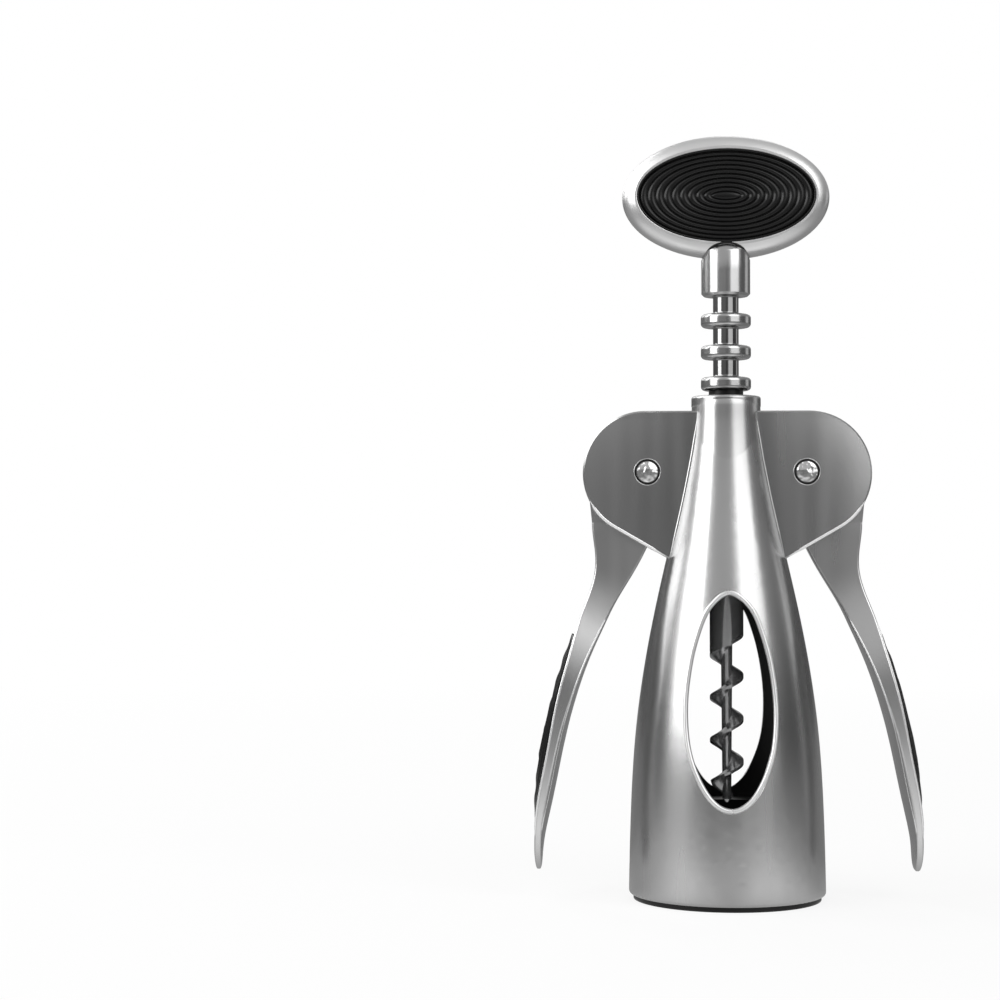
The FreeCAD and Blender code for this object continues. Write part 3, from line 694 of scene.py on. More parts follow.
def polished_metal():
    material, tree, shader = new_material("polished_pin")
    place = object_place(tree)
    scuffs = noise(tree, place, SCUFF_PER_METRE, SCUFF_DETAIL)
    dents = noise(tree, place, DENT_PER_METRE, DENT_DETAIL)
    scuffed = bumped(tree, scuffs, SCUFF_DEPTH)
    feed(shader, {
        "Base Color": two_greys(tree, scuffs, PIN_GREYS),
        "Metallic": 1.0,
        "Roughness": ranged(tree, scuffs, *PIN_GLOSS),
        "Normal": bumped(tree, dents, DENT_DEPTH, under=scuffed),
    })
    x, _, z = split(tree, place)
    # painted shade: the head is darkened towards its rim, where the recess shades it
    rim_shade = ranged(tree, from_pivot(tree, x, z), 0, 1, *PIN_HEAD_EDGE)
    with_painted_shade(tree, shader, rim_shade, PIN_EDGE_ROUGHNESS)
    return material


pin_metal = polished_metal()
stud_metal = satin_metal("stud_steel", (0.70, 0.76), (0.14, 0.20))
for pin in ("left_pivot_pin", "right_pivot_pin", "left_pivot_cap", "right_pivot_cap"):
    give(pin, pin_metal)
for stud in ("worm_pin", "handle_stud"):
    give(stud, stud_metal)
print("pins done")

# %% [markdown]
# ## Worm
# The worm is ground steel with a thin plate of black nickel. It mirrors the bell's dark inside,
# so its grey is painted far lighter than black nickel, as painted light, and it is a little less
# metallic than the castings. The grinding shows in its colour and gloss alone: a bump would break
# the small highlights on so thin a blade into speckles.

# %% Worm
WORM_METALLIC = 0.82
WORM_GLOSS = (0.18, 0.23)
# painted light: greys far lighter than black nickel, against the dark hollow round the worm
WORM_DARK = (0.68, 0.68, 0.685)
WORM_LIGHT = (0.74, 0.74, 0.745)
GRINDING_STRETCH = (1, 1, 3)
GRINDING_PER_METRE = 350.0
GRINDING_DETAIL = 1.0


def black_nickel():
    material, tree, shader = new_material("black_nickel")
    place = object_place(tree, GRINDING_STRETCH)
    grinding = noise(tree, place, GRINDING_PER_METRE, GRINDING_DETAIL)
    feed(shader, {
        "Base Color": two_colours(tree, grinding, WORM_DARK, WORM_LIGHT),
        "Metallic": WORM_METALLIC,
        "Roughness": ranged(tree, grinding, *WORM_GLOSS),
    })
    return material


give("worm", black_nickel())
print("worm done")

# %% [markdown]
# ## Black plastic and rubber
# The bottle guide and the bush are moulded plastic with a fine spark-eroded texture. The grip pads
# are rubber, which is a shade darker here and, worn by hands, a little glossier. Both have a faint
# cloudiness, a broad noise that moves the colour and the gloss together.

# %% Plastic and rubber
MOULDED_REFLECTION = 0.32
CLOUD_PER_METRE = 120.0
MOULDED_DETAIL = 3.0


def moulded(name, greys, roughness, grain_per_metre, grain_depth):
    material, tree, shader = new_material(name)
    place = object_place(tree)
    cloud = noise(tree, place, CLOUD_PER_METRE, MOULDED_DETAIL)
    grain = noise(tree, place, grain_per_metre, MOULDED_DETAIL)
    feed(shader, {
        "Base Color": two_greys(tree, cloud, greys),
        "Roughness": ranged(tree, cloud, *roughness),
        "Specular IOR Level": MOULDED_REFLECTION,
        "Normal": bumped(tree, grain, grain_depth),
    })
    return material


black_plastic = moulded("black_plastic", (0.004, 0.009), (0.34, 0.44), 3000.0, 0.006 * MM)
rubber = moulded("grip_rubber", (0.003, 0.007), (0.22, 0.30), 2200.0, 0.004 * MM)
give("bottle_guide", black_plastic)
give("guide_bush", black_plastic)
print("plastic and rubber done")

# %% [markdown]
# ## Ribbed grip pads
# Each face of the handle carries an oval rubber pad with raised oval ribs, one inside the other,
# round a small island in the middle. The ribs are scaled ovals, wider apart along the pad than
# across it, so an inset of even width wouldn't give them. The pad starts as a flat oval face. The
# face is raised for the pad's edge, and then extruded again and again, each time a little smaller
# and a little higher or lower, along the line of the ribs.

# %% Grip pads
PAD_POINTS = 144
RIB_COUNT = 9
RIB_STEPS = 8
RIB_HEIGHT = 0.5 * MM
PAD_RIM = 0.4 * MM
ISLAND_HALF_WIDTH = 3.6 * MM
ISLAND_HALF_HEIGHT = 1.0 * MM
ISLAND_STEPS = ((0.85, 0.6), (0.6, 0.9), (0.3, 1.0))  # shares of its size and of a rib's height


def pad_levels(half_width, half_height):
    """(half width, half height, height share) of each ring from the rim to the middle island."""
    levels = []
    for step in range(RIB_COUNT * RIB_STEPS + 1):
        inwards = step / (RIB_COUNT * RIB_STEPS)
        wide = half_width - PAD_RIM + (ISLAND_HALF_WIDTH - half_width + PAD_RIM) * inwards
        high = half_height - PAD_RIM + (ISLAND_HALF_HEIGHT - half_height + PAD_RIM) * inwards
        levels.append((wide, high, abs(math.sin(math.pi * step / RIB_STEPS))))
    for share, height in ISLAND_STEPS:
        levels.append((ISLAND_HALF_WIDTH * share, ISLAND_HALF_HEIGHT * share, height))
    return levels


def extrude_to(now, wanted, lift, centre):
    """Extrudes the selected oval, lifts it and scales it from one pair of half sizes to another."""
    bpy.ops.mesh.extrude_region_move(TRANSFORM_OT_translate={"value": (0, lift, 0)})
    grow = (wanted[0] / now[0], 1, wanted[1] / now[1])
    bpy.ops.transform.resize(value=grow, center_override=centre)


def grip_pad(name, node_name, outwards):
    """outwards is -1 for the front pad and 1 for the rear one."""
    low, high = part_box(node_name)
    seat = high.y if outwards < 0 else low.y
    crest = low.y if outwards < 0 else high.y
    centre = Vector((0, 0, (low.z + high.z) / 2))
    size = (high.x, (high.z - low.z) / 2)
    deselect_everything()
    bpy.ops.mesh.primitive_circle_add(
        vertices=PAD_POINTS, radius=1, fill_type="NGON",
        location=(0, seat, centre.z), rotation=(math.radians(90), 0, 0),
    )
    pad = bpy.context.object
    pad.name = name
    bpy.ops.object.transform_apply(location=True, rotation=True, scale=True)
    bpy.ops.object.mode_set(mode="EDIT")
    bpy.ops.mesh.select_all(action="SELECT")
    bpy.ops.transform.resize(value=(size[0], 1, size[1]), center_override=centre)
    groove = crest - outwards * RIB_HEIGHT
    extrude_to(size, size, groove - seat, centre)
    now, height = size, 0.0
    for wide, high_now, next_height in pad_levels(*size):
        lift = outwards * (next_height - height) * RIB_HEIGHT
        extrude_to(now, (wide, high_now), lift, centre)
        now, height = (wide, high_now), next_height
    finish_piece(pad, smooth_angle=50)
    pad.data.materials.append(rubber)
    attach(pad, "screw_assembly")
    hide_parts(node_name)


grip_pad("front_grip_ribs", "front_grip_pad", -1)
grip_pad("rear_grip_ribs", "rear_grip_pad", 1)

# %% [markdown]
# ## Lever pads
# A soft pad lies on the outer face of each wing, where the palm presses. It has to follow the
# wing's curve exactly. So a flat grid is cut to the pad's outline beside the wing and pressed onto
# it with a Shrinkwrap modifier. Solidify then gives it its thickness. A vertex group tells
# Solidify how much of the full thickness each point gets: little at the rim, all of it along the
# crest of the lower half, and a ripple of ribs that repeats the handle's.

# %% Thickness of a lever pad
WING_PAD_SQUARENESS = 2.6
WING_PAD_CREST = [  # (height in mm, share of the full thickness along the crest)
    (65.5, 0.36),
    (60.0, 0.58),
    (55.0, 0.68),
    (50.0, 0.71),
    (45.0, 0.77),
    (40.0, 0.90),
    (35.0, 0.93),
    (30.0, 0.74),
    (25.0, 0.52),
    (20.5, 0.24),
    (18.0, 0.05),
]
WING_PAD_RIM_SHARE = 0.3
WING_RIB_COUNT = 4
WING_RIB_SHARE = 0.16


def outline_share(along):
    """Share of the pad's half width, from -1 at its lower end to 1 at its upper end."""
    return max(1 - abs(along) ** WING_PAD_SQUARENESS, 0.0) ** (1 / WING_PAD_SQUARENESS)


def crest_share(height):
    """Share of the full thickness along the crest at a height in mm."""
    for (upper, thick), (lower, thin) in zip(WING_PAD_CREST, WING_PAD_CREST[1:]):
        if height >= lower:
            rise = min((height - lower) / (upper - lower), 1.0)
            return thin + (thick - thin) * rise
    return WING_PAD_CREST[-1][1]


def pad_share(height, along, across):
    """Share of the full thickness at a point; along and across run from -1 to 1 over the pad."""
    aside = abs(across) * outline_share(along)
    reach = abs(along) ** WING_PAD_SQUARENESS + aside ** WING_PAD_SQUARENESS
    reach = min(reach ** (1 / WING_PAD_SQUARENESS), 1.0)
    crown = WING_PAD_RIM_SHARE + (1 - WING_PAD_RIM_SHARE) * (1 - across ** 2)
    ripple = 0.5 - 0.5 * math.cos(2 * math.pi * reach * WING_RIB_COUNT)
    return crest_share(height) * (crown - WING_RIB_SHARE * ripple)


print("lever pads are thickest", max(WING_PAD_CREST, key=lambda row: row[1])[0], "mm up")

# %% Lever pads
WING_PAD_ROWS = 140
WING_PAD_COLUMNS = 72
WING_PAD_HALF_WIDTH = 7.2 * MM
WING_PAD_THICKNESS = 2.3 * MM
WING_PAD_LEAST_WIDTH = 0.02  # share of the full width that its very ends keep
AWAY_FROM_WING = 60 * MM
ROW_TOLERANCE = 0.01 * MM


def flat_pad_blank(low, high):
    """Grid beside the right wing, cut to the pad's outline; returns it and each vertex's share."""
    length = high.z - low.z
    middle = (low.z + high.z) / 2
    deselect_everything()
    bpy.ops.mesh.primitive_grid_add(
        x_subdivisions=WING_PAD_ROWS, y_subdivisions=WING_PAD_COLUMNS, size=length,
        location=(AWAY_FROM_WING, 0, middle), rotation=(0, math.radians(90), 0),
    )
    pad = bpy.context.object
    bpy.ops.object.transform_apply(location=True, rotation=True, scale=True)
    shares = []
    for vertex in pad.data.vertices:
        along = 2 * (vertex.co.z - middle) / length
        across = 2 * vertex.co.y / length
        shares.append(pad_share(vertex.co.z / MM, along, across))
    for row in range(WING_PAD_ROWS + 1):
        level = low.z + length * row / WING_PAD_ROWS
        width_share = max(outline_share(2 * row / WING_PAD_ROWS - 1), WING_PAD_LEAST_WIDTH)
        width = 2 * WING_PAD_HALF_WIDTH / length * width_share
        select_vertices(pad, lambda place: abs(place.z - level) < ROW_TOLERANCE)
        bpy.ops.transform.resize(value=(1, width, 1), center_override=(AWAY_FROM_WING, 0, level))
    bpy.ops.object.mode_set(mode="OBJECT")
    return pad, shares


def lay_on_wing(pad, shares):
    """Presses the blank onto the right wing and gives it its thickness."""
    apply_modifier(
        pad, "SHRINKWRAP", target=NODES["right_lever"], wrap_method="PROJECT",
        use_project_x=True, use_negative_direction=True, use_positive_direction=False,
    )
    group = pad.vertex_groups.new(name="thickness")
    for index, share in enumerate(shares):
        group.add([index], share, "REPLACE")
    apply_modifier(
        pad, "SOLIDIFY", thickness=WING_PAD_THICKNESS, offset=1.0, vertex_group=group.name
    )


right_lever_grip, thickness_shares = flat_pad_blank(*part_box("right_lever_pad"))
right_lever_grip.name = "right_lever_grip"
lay_on_wing(right_lever_grip, thickness_shares)
bpy.ops.object.duplicate()
left_lever_grip = bpy.context.object
left_lever_grip.name = "left_lever_grip"
bpy.ops.transform.resize(value=(-1, 1, 1), center_override=(0, 0, 0))
for pad, side in ((left_lever_grip, "left"), (right_lever_grip, "right")):
    select_alone(pad)
    finish_piece(pad, smooth_angle=40)
    pad.data.materials.append(rubber)
    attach(pad, side + "_lever")
    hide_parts(side + "_lever_pad")
    reach = [vertex.co.x / MM for vertex in pad.data.vertices]
    print(pad.name, "reaches from", round(min(reach), 2), "to", round(max(reach), 2), "mm")

# %% [markdown]
# ## Rounded trims
# A casting has small roundings that catch the light as thin lines. Bevels on its own edges could
# give them, but the solid stays as it is. So each is a thin tube that lies along the skin, partly
# sunk in it. Rays shot at the solid find its line, so that it follows the curve of the bell. An
# open line tapers towards its ends and sinks away there.

# %% Trim helpers
RAY_START = 100 * MM
TAPER = 0.15  # share of its radius that a tube keeps at its ends
TAPER_SHARE = 0.16  # share of its length over which each end tapers
TUBE_ROUNDNESS = 4
LINE_ORDER = 4
LINE_STEPS = 3
FRONT_AND_REAR = (-1, 1)
FOUR_PLACES = [(side, end) for side in FRONT_AND_REAR for end in (-1, 1)]  # end -1 is on the left


def skin(x, z, side, node_name="bell_frame"):
    """Point of a solid's skin at x and z, seen from the front (-1) or the rear (1)."""
    start = Vector((x, side * RAY_START, z))
    hit, place, _, _ = NODES[node_name].ray_cast(start, Vector((0, -side, 0)))
    return place if hit else None


def tube_line(data, line, closed):
    """Adds a smooth line of points to a curve."""
    spline = data.splines.new("NURBS")
    spline.points.add(len(line) - 1)
    for index, (point, place) in enumerate(zip(spline.points, line)):
        point.co = (*place, 1)
        if not closed:
            from_end = min(index, len(line) - 1 - index) / len(line)
            point.radius = min(TAPER + (1 - TAPER) * from_end / TAPER_SHARE, 1.0)
    spline.use_cyclic_u = closed
    spline.order_u = LINE_ORDER
    spline.use_endpoint_u = not closed
    spline.resolution_u = LINE_STEPS


def trim(name, lines, radius, body, material, closed=False):
    """Tubes of one radius along lines of points, as one piece."""
    data = bpy.data.curves.new(name, "CURVE")
    data.dimensions = "3D"
    data.bevel_depth = radius
    data.bevel_resolution = TUBE_ROUNDNESS
    data.use_fill_caps = True
    for line in lines:
        tube_line(data, line, closed)
    piece = bpy.data.objects.new(name, data)
    bpy.context.scene.collection.objects.link(piece)
    select_alone(piece)
    bpy.ops.object.convert(target="MESH")
    finish_piece(piece, smooth_angle=60)
    piece.data.materials.append(material)
    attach(piece, body)


def oval_line(centre, half_width, half_height, count):
    """Points round an upright oval."""
    x, y, z = centre
    turns = [2 * math.pi * index / count for index in range(count)]
    return [(x + half_width * math.cos(t), y, z + half_height * math.sin(t)) for t in turns]


# painted highlights: the trim metals are the castings' satin nickel painted lighter, so that the
# thin lines show bright; the ears' edges and the lips are the lightest and less metallic
trim_metal = satin_metal("satin_nickel_trim", (0.58, 0.64), (0.20, 0.26))
highlight_edge_metal = satin_metal("worn_bright_edge", (0.86, 0.92), (0.30, 0.36), metallic=0.45)
highlight_lip_metal = satin_metal("satin_nickel_lip_highlight", (0.74, 0.80), (0.26, 0.32), metallic=0.7)
print("three metals for the trims")

# %% [markdown]
# ## Roots of the ears
# Where an ear grows out of the bell, the casting has a small fillet, because a sharp inner corner
# could crack. The line runs where the bell's round skin passes through the ear's flat face. A ray
# gives the bell's radius at each height, and Pythagoras gives the line's distance to the side.

# %% Ear roots
EAR_FACE = 4.5 * MM
EAR_ROOT_RADIUS = 0.34 * MM
EAR_ROOT_LOW = 84.6 * MM
EAR_ROOT_HIGH = 120.6 * MM
EAR_ROOT_POINTS = 24


def ear_root_line(side, end):
    """Line where the ear at end (-1 left, 1 right) meets the bell, at the front or the rear."""
    line = []
    for index in range(EAR_ROOT_POINTS):
        z = EAR_ROOT_LOW + (EAR_ROOT_HIGH - EAR_ROOT_LOW) * index / (EAR_ROOT_POINTS - 1)
        radius = abs(skin(0, z, side).y)
        line.append((end * math.sqrt(radius ** 2 - EAR_FACE ** 2), side * EAR_FACE, z))
    return line


ear_roots = [ear_root_line(*place) for place in FOUR_PLACES]
trim("ear_roots", ear_roots, EAR_ROOT_RADIUS, "frame", trim_metal)

# %% [markdown]
# ## Bright edges of the ears
# The lower edge of each ear and the start of its round nose carry a painted highlight: a tube in
# a light, less metallic grey. One straight run and one arc about the ear's centre follow them, just
# inside the edge of the cheek.

# %% Ear edges
EAR_CENTRE = (20.3 * MM, 105.7 * MM)
EAR_EDGE_FROM_CENTRE = 15.22 * MM
EAR_EDGE_Y = 4.16 * MM
EAR_EDGE_RADIUS = 0.44 * MM
EAR_EDGE_SLOPE = math.radians(30)
EAR_EDGE_LENGTH = 16.3 * MM
EAR_EDGE_ARC = math.radians(36)
EAR_EDGE_STEPS = 12


def off_ear_centre(turn):
    """Point on the ear's edge, turned from straight down towards the nose."""
    return Vector((math.sin(turn), -math.cos(turn))) * EAR_EDGE_FROM_CENTRE


def ear_edge_line(side, end):
    """Line along an ear's straight lower edge and the start of its round nose."""
    foot = off_ear_centre(EAR_EDGE_SLOPE)
    inwards = Vector((-math.cos(EAR_EDGE_SLOPE), -math.sin(EAR_EDGE_SLOPE))) * EAR_EDGE_LENGTH
    straight = [foot + inwards * (1 - step / EAR_EDGE_STEPS) for step in range(EAR_EDGE_STEPS)]
    steps = range(EAR_EDGE_STEPS + 1)
    nose = [off_ear_centre(EAR_EDGE_SLOPE + EAR_EDGE_ARC * step / EAR_EDGE_STEPS) for step in steps]
    return [
        (end * (EAR_CENTRE[0] + place.x), side * EAR_EDGE_Y, EAR_CENTRE[1] + place.y)
        for place in straight + nose
    ]


ear_edges = [ear_edge_line(*place) for place in FOUR_PLACES]
# painted highlight along the ears' edges
trim("ear_edges", ear_edges, EAR_EDGE_RADIUS, "frame", highlight_edge_metal)

# %% [markdown]
# ## Burrs round the pins' recesses
# Milling a recess into a cheek leaves a thin raised ring round its mouth. Each is a circle of
# points just under the ear's face.

# %% Recess burrs
BURR_RADIUS = 0.13 * MM
BURR_CIRCLE = 3.3 * MM
BURR_SINK = 0.02 * MM
BURR_POINTS = 32

burrs = []
for side, end in FOUR_PLACES:
    mouth = (end * PIVOT[0], side * (EAR_FACE - BURR_SINK), PIVOT[1])
    burrs.append(oval_line(mouth, BURR_CIRCLE, BURR_CIRCLE, BURR_POINTS))
trim("recess_burrs", burrs, BURR_RADIUS, "frame", trim_metal, closed=True)

# %% [markdown]
# ## Lips of the windows
# A rounded lip frames each window. A smooth line through a few points gives the window's outline,
# and the lip lies a little outside it. Its depth comes from rays at the bell. The left and the
# right one are compared and the line is smoothed a few times, because a lip that followed every
# facet of the solid would have a broken highlight.

# %% Window lips
WINDOW_OUTLINE = [  # (half width, height) of the window, mm, from its top point down one side
    (0.0, 75.7),
    (4.6, 72.2),
    (7.3, 66.0),
    (9.2, 58.5),
    (10.3, 49.0),
    (9.8, 39.5),
    (7.6, 32.2),
    (4.1, 26.6),
    (0.0, 24.6),
]
LIP_RADIUS = 0.66 * MM
LIP_OFFSET = 0.60 * MM
LIP_SINK = 0.06 * MM
LIP_POINTS_PER_SPAN = 8
LIP_SMOOTHINGS = 3


def smooth_outline(corners):
    """Closed smooth line through the corners, with as many points between each two."""
    count = len(corners)
    points = []
    for index in range(count):
        around = [Vector(corners[(index + step) % count]) for step in (-1, 0, 1, 2)]
        before, start, end, after = around
        for part in range(LIP_POINTS_PER_SPAN):
            t = part / LIP_POINTS_PER_SPAN
            bend = 2 * before - 5 * start + 4 * end - after
            turn = 3 * start - before - 3 * end + after
            points.append(0.5 * (2 * start + (end - before) * t + bend * t ** 2 + turn * t ** 3))
    return points


def lip_line(side):
    """Line of the lip: half a lip's width outside the window's outline, in the chamfer."""
    right = [(x * MM, z * MM) for x, z in WINDOW_OUTLINE]
    left = [(-x, z) for x, z in reversed(right[1:-1])]
    outline = smooth_outline(right + left)
    line = []
    for index, point in enumerate(outline):
        along = (outline[(index + 1) % len(outline)] - outline[index - 1]).normalized()
        out = Vector((-along.y, along.x))
        x, z = point + out * LIP_OFFSET
        depth = max(abs(skin(x, z, side).y), abs(skin(-x, z, side).y))
        line.append((x, side * (depth - LIP_SINK), z))
    for _ in range(LIP_SMOOTHINGS):
        line = [
            (x, (line[index - 1][1] + 2 * y + line[(index + 1) % len(line)][1]) / 4, z)
            for index, (x, y, z) in enumerate(line)
        ]
    return line


lips = [lip_line(side) for side in FRONT_AND_REAR]
# painted highlight: the lips are lighter than the bell
trim("window_lips", lips, LIP_RADIUS, "frame", highlight_lip_metal, closed=True)

# %% [markdown]
# ## Rims of the wings
# The pad on each wing lies between two raised rims, and the wing's inner edges are softly rounded.
# Rays find the wing's outer and inner face and its side at each height, and the tubes follow
# them. They stand a little proud along the wing and sink into it at their ends. The front edges of
# the right wing are traced, and the others are their mirror images.

# %% Wing rims
RIM_RADIUS = 0.30 * MM
RIM_ABOVE_FACE = 0.22 * MM
RIM_BESIDE_WING = 0.08 * MM
RIM_SUNK = -0.25 * MM
RIM_LOW = 9.5 * MM
RIM_HIGH = 76.0 * MM
RIM_RISE = 10.0 * MM
RIM_POINTS = 48
WING_SIDE_DEPTH = 1.2 * MM
INSIDE_START = 10.0 * MM


def lever_hit(start, direction):
    """Point where a ray meets the right lever."""
    _, place, _, _ = NODES["right_lever"].ray_cast(Vector(start), Vector(direction))
    return place


def wing_rim_lines():
    """Front outer and front inner edge of the right wing."""
    outer, inner = [], []
    for index in range(RIM_POINTS):
        z = RIM_LOW + (RIM_HIGH - RIM_LOW) * index / (RIM_POINTS - 1)
        rise = min(max(min(z - RIM_LOW, RIM_HIGH - z) / RIM_RISE, 0), 1)
        rise = rise * rise * (3 - 2 * rise)
        above = RIM_SUNK + (RIM_ABOVE_FACE - RIM_SUNK) * rise
        beside = RIM_SUNK + (RIM_BESIDE_WING - RIM_SUNK) * rise
        face = lever_hit((RAY_START, 0, z), (-1, 0, 0)).x
        side = lever_hit((face - WING_SIDE_DEPTH, -RAY_START, z), (0, 1, 0)).y
        outer.append((face - RIM_RADIUS + above, side + RIM_RADIUS - beside, z))
        back = lever_hit((INSIDE_START, 0, z), (1, 0, 0)).x
        back_side = lever_hit((back + WING_SIDE_DEPTH, -RAY_START, z), (0, 1, 0)).y
        y = back_side + RIM_RADIUS - beside
        back = lever_hit((INSIDE_START, y, z), (1, 0, 0)).x
        inner.append((back + RIM_RADIUS - beside, y, z))
    return outer, inner


outer_rim, inner_rim = wing_rim_lines()
for lever, end in (("left", -1), ("right", 1)):
    for edge, line in (("outer", outer_rim), ("inner", inner_rim)):
        both = [[(end * x, face * y, z) for x, y, z in line] for face in (-1, 1)]
        rims_name = lever + "_wing_" + edge + "_rims"
        # painted highlight: the rims are lighter than the wings
        trim(rims_name, both, RIM_RADIUS, lever + "_lever", highlight_lip_metal)

# %% [markdown]
# ## Rims of the grip pads
# A thin rubber rim closes the gap round each of the handle's pads. The pad's edge could be made
# wider instead, but a round rim gives it the soft outer edge of moulded rubber.

# %% Grip pad rims
PAD_RIM_RADIUS = 0.30 * MM
PAD_RIM_Y = 4.42 * MM
PAD_RIM_OUTSIDE = 0.06 * MM
PAD_RIM_POINTS = 96


def pad_rim_line(side):
    low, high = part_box("front_grip_pad")
    middle = (low.z + high.z) / 2
    half_width = high.x + PAD_RIM_OUTSIDE
    half_height = high.z - middle + PAD_RIM_OUTSIDE
    return oval_line((0, side * PAD_RIM_Y, middle), half_width, half_height, PAD_RIM_POINTS)


pad_rims = [pad_rim_line(side) for side in FRONT_AND_REAR]
trim(
    "grip_pad_rims", pad_rims, PAD_RIM_RADIUS, "screw_assembly", rubber, closed=True
)

# %% [markdown]
# ## Blend under the collar
# The collar stands a little proud of the bell all round, but in front and behind the casting runs
# up into it without a step. The blend is a ring that starts as a circle of edges, is extruded and
# scaled upwards along the bell, and comes back down inside the wall. It is then squeezed
# sideways, so that it sinks into the casting towards the ears.

# %% Collar blend
BLEND_PROFILE = [  # (height, how far it stands out from the bell's skin), mm
    (106.0, -0.12),
    (110.0, 0.03),
    (114.0, 0.17),
    (118.0, 0.32),
    (120.6, 0.45),
]
BLEND_COLLAR = [  # (height, radius) over the collar and back down inside the wall, mm
    (122.4, 8.86),
    (123.4, 8.78),
    (124.2, 8.58),
    (123.6, 7.9),
    (106.0, 9.6),
]
BLEND_SQUEEZE = 0.965
BLEND_POINTS = 160

skin_radii = [(z * MM, abs(skin(0, z * MM, -1).y) + proud * MM) for z, proud in BLEND_PROFILE]
blend_rings = skin_radii + [(z * MM, radius * MM) for z, radius in BLEND_COLLAR]
blend_rings.append(blend_rings[0])
start_z, start_radius = blend_rings[0]
deselect_everything()
bpy.ops.mesh.primitive_circle_add(
    vertices=BLEND_POINTS, radius=start_radius, fill_type="NOTHING", location=(0, 0, start_z)
)
blend = bpy.context.object
blend.name = "collar_blend"
bpy.ops.object.mode_set(mode="EDIT")
bpy.ops.mesh.select_all(action="SELECT")
for (z, radius), (next_z, next_radius) in zip(blend_rings, blend_rings[1:]):
    bpy.ops.mesh.extrude_region_move(TRANSFORM_OT_translate={"value": (0, 0, next_z - z)})
    grow = next_radius / radius
    bpy.ops.transform.resize(value=(grow, grow, 1), center_override=(0, 0, next_z))
bpy.ops.mesh.select_all(action="SELECT")
bpy.ops.transform.resize(value=(BLEND_SQUEEZE, 1, 1), center_override=(0, 0, 0))
finish_piece(blend, smooth_angle=60)
blend.data.materials.append(bell_metal)
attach(blend, "frame")

# %% [markdown]
# ## Hub cheeks
# The barrel under the handle ends in two rounded cheeks that hold the oval's rim between them. A
# cheek is round from the front and follows the barrel's round side from above. Two crossing
# cylinders share just that form. So a bevelled disc is cut to the barrel by a Boolean modifier,
# trimmed to the front cheek by two cuts, and mirrored for the rear one.

# %% Hub cheeks
CHEEK_AXIS_Z = 156.2 * MM
CHEEK_RADIUS = 6.94 * MM
CHEEK_FRONT = 6.25 * MM
CHEEK_ROUNDING = 3.2 * MM
CHEEK_ROUNDING_STEPS = 16
CHEEK_INNER_FACE = 1.8 * MM
CHEEK_POINTS = 128
BARREL_RADIUS = 6.115 * MM


def cylinder(name, points, radius, depth, middle, turn=0):
    """Cylinder round the screw's axis, turned about X and centred at a height."""
    deselect_everything()
    bpy.ops.mesh.primitive_cylinder_add(
        vertices=points, radius=radius, depth=depth, location=(0, 0, middle), rotation=(turn, 0, 0)
    )
    piece = bpy.context.object
    piece.name = name
    return piece


def cut_away(place, direction):
    """Cuts the piece by a plane, removes what lies in the direction and closes the cut."""
    bpy.ops.object.mode_set(mode="EDIT")
    bpy.ops.mesh.select_all(action="SELECT")
    bpy.ops.mesh.bisect(plane_co=place, plane_no=direction, use_fill=True, clear_outer=True)
    bpy.ops.object.mode_set(mode="OBJECT")


barrel = cylinder("barrel", CHEEK_POINTS, BARREL_RADIUS, 4 * CHEEK_RADIUS, CHEEK_AXIS_Z)
lying = math.radians(90)
cheeks = cylinder("hub_cheeks", CHEEK_POINTS, CHEEK_RADIUS, 2 * CHEEK_FRONT, CHEEK_AXIS_Z, lying)
bpy.ops.object.transform_apply(location=True, rotation=True, scale=True)
apply_modifier(
    cheeks, "BEVEL", width=CHEEK_ROUNDING, segments=CHEEK_ROUNDING_STEPS, limit_method="ANGLE"
)
apply_modifier(cheeks, "BOOLEAN", operation="INTERSECT", object=barrel)
bpy.data.objects.remove(barrel)
cut_away((0, -CHEEK_INNER_FACE, CHEEK_AXIS_Z), (0, 1, 0))
cut_away((0, 0, CHEEK_AXIS_Z), (0, 0, -1))
apply_modifier(cheeks, "MIRROR", use_axis=(False, True, False), use_mirror_merge=False)
finish_piece(cheeks, smooth_angle=40)
cheeks.data.materials.append(rack_metal)
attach(cheeks, "screw_assembly")

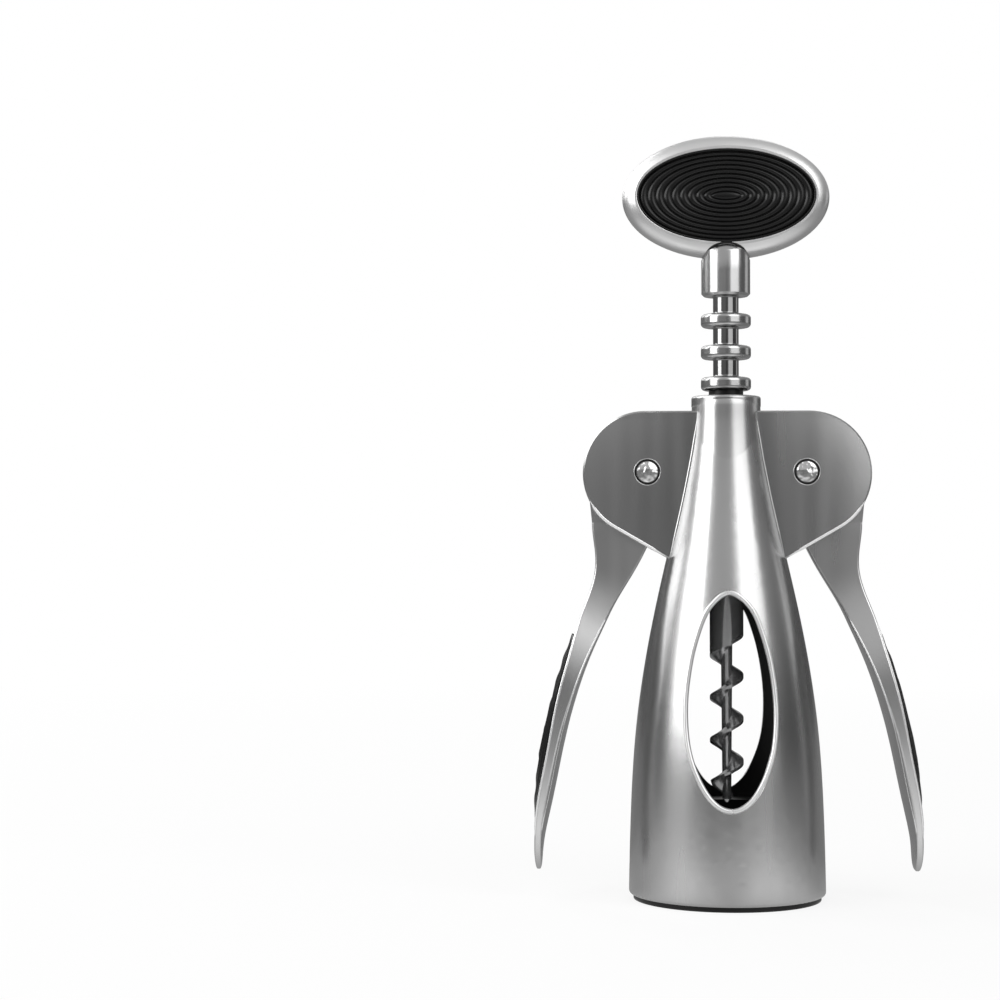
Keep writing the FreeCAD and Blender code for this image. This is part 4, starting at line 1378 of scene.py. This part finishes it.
# %% [markdown]
# ## Painted shade round the cheeks
# The joint between a cheek and the oval is narrow and lies in shade. A gap as thin as the real one
# would hardly show, so a thin black line of painted shade lies round the cheek, on the oval's skin.
# A ray at each point finds that skin, and points that miss the oval are left out.

# %% Hub shade lines
HUB_LINE_RADIUS = 6.86 * MM
HUB_LINE_THICKNESS = 0.27 * MM
HUB_LINE_HALF_WIDTH = 5.6 * MM
HUB_LINE_POINTS = 25


def hub_shade_line(side):
    """Line of painted shade round a cheek, on the oval's skin."""
    line = []
    for index in range(HUB_LINE_POINTS):
        x = HUB_LINE_HALF_WIDTH * (2 * index / (HUB_LINE_POINTS - 1) - 1)
        z = CHEEK_AXIS_Z + math.sqrt(HUB_LINE_RADIUS ** 2 - x ** 2)
        place = skin(x, z, side, "handle_ring")
        if place is not None:
            line.append((x, place.y, z))
    return line


hub_shade_lines = [hub_shade_line(side) for side in FRONT_AND_REAR]
trim("hub_shade_lines", hub_shade_lines, HUB_LINE_THICKNESS, "screw_assembly", black_plastic)

# %% [markdown]
# ## Painted shade on the screw's core
# A short black sleeve sits on the core just above the collar as painted shade, where the core lies
# in shadow between the lowest ring and the collar. It is a cylinder whose edges are rounded by a
# Bevel modifier, so that they catch a little light.

# %% Sleeve
SLEEVE_RADIUS = 4.3 * MM
SLEEVE_LOW = 124.2 * MM
SLEEVE_HIGH = 127.15 * MM
SLEEVE_ROUNDING = 0.35 * MM
SLEEVE_ROUNDING_STEPS = 3
SLEEVE_POINTS = 64

sleeve_length = SLEEVE_HIGH - SLEEVE_LOW
sleeve_middle = (SLEEVE_LOW + SLEEVE_HIGH) / 2
# painted shade: a black sleeve where the core is shaded
sleeve = cylinder("core_shade_sleeve", SLEEVE_POINTS, SLEEVE_RADIUS, sleeve_length, sleeve_middle)
apply_modifier(
    sleeve, "BEVEL", width=SLEEVE_ROUNDING, segments=SLEEVE_ROUNDING_STEPS, limit_method="ANGLE"
)
finish_piece(sleeve, smooth_angle=40)
sleeve.data.materials.append(black_plastic)
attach(sleeve, "screw_assembly")
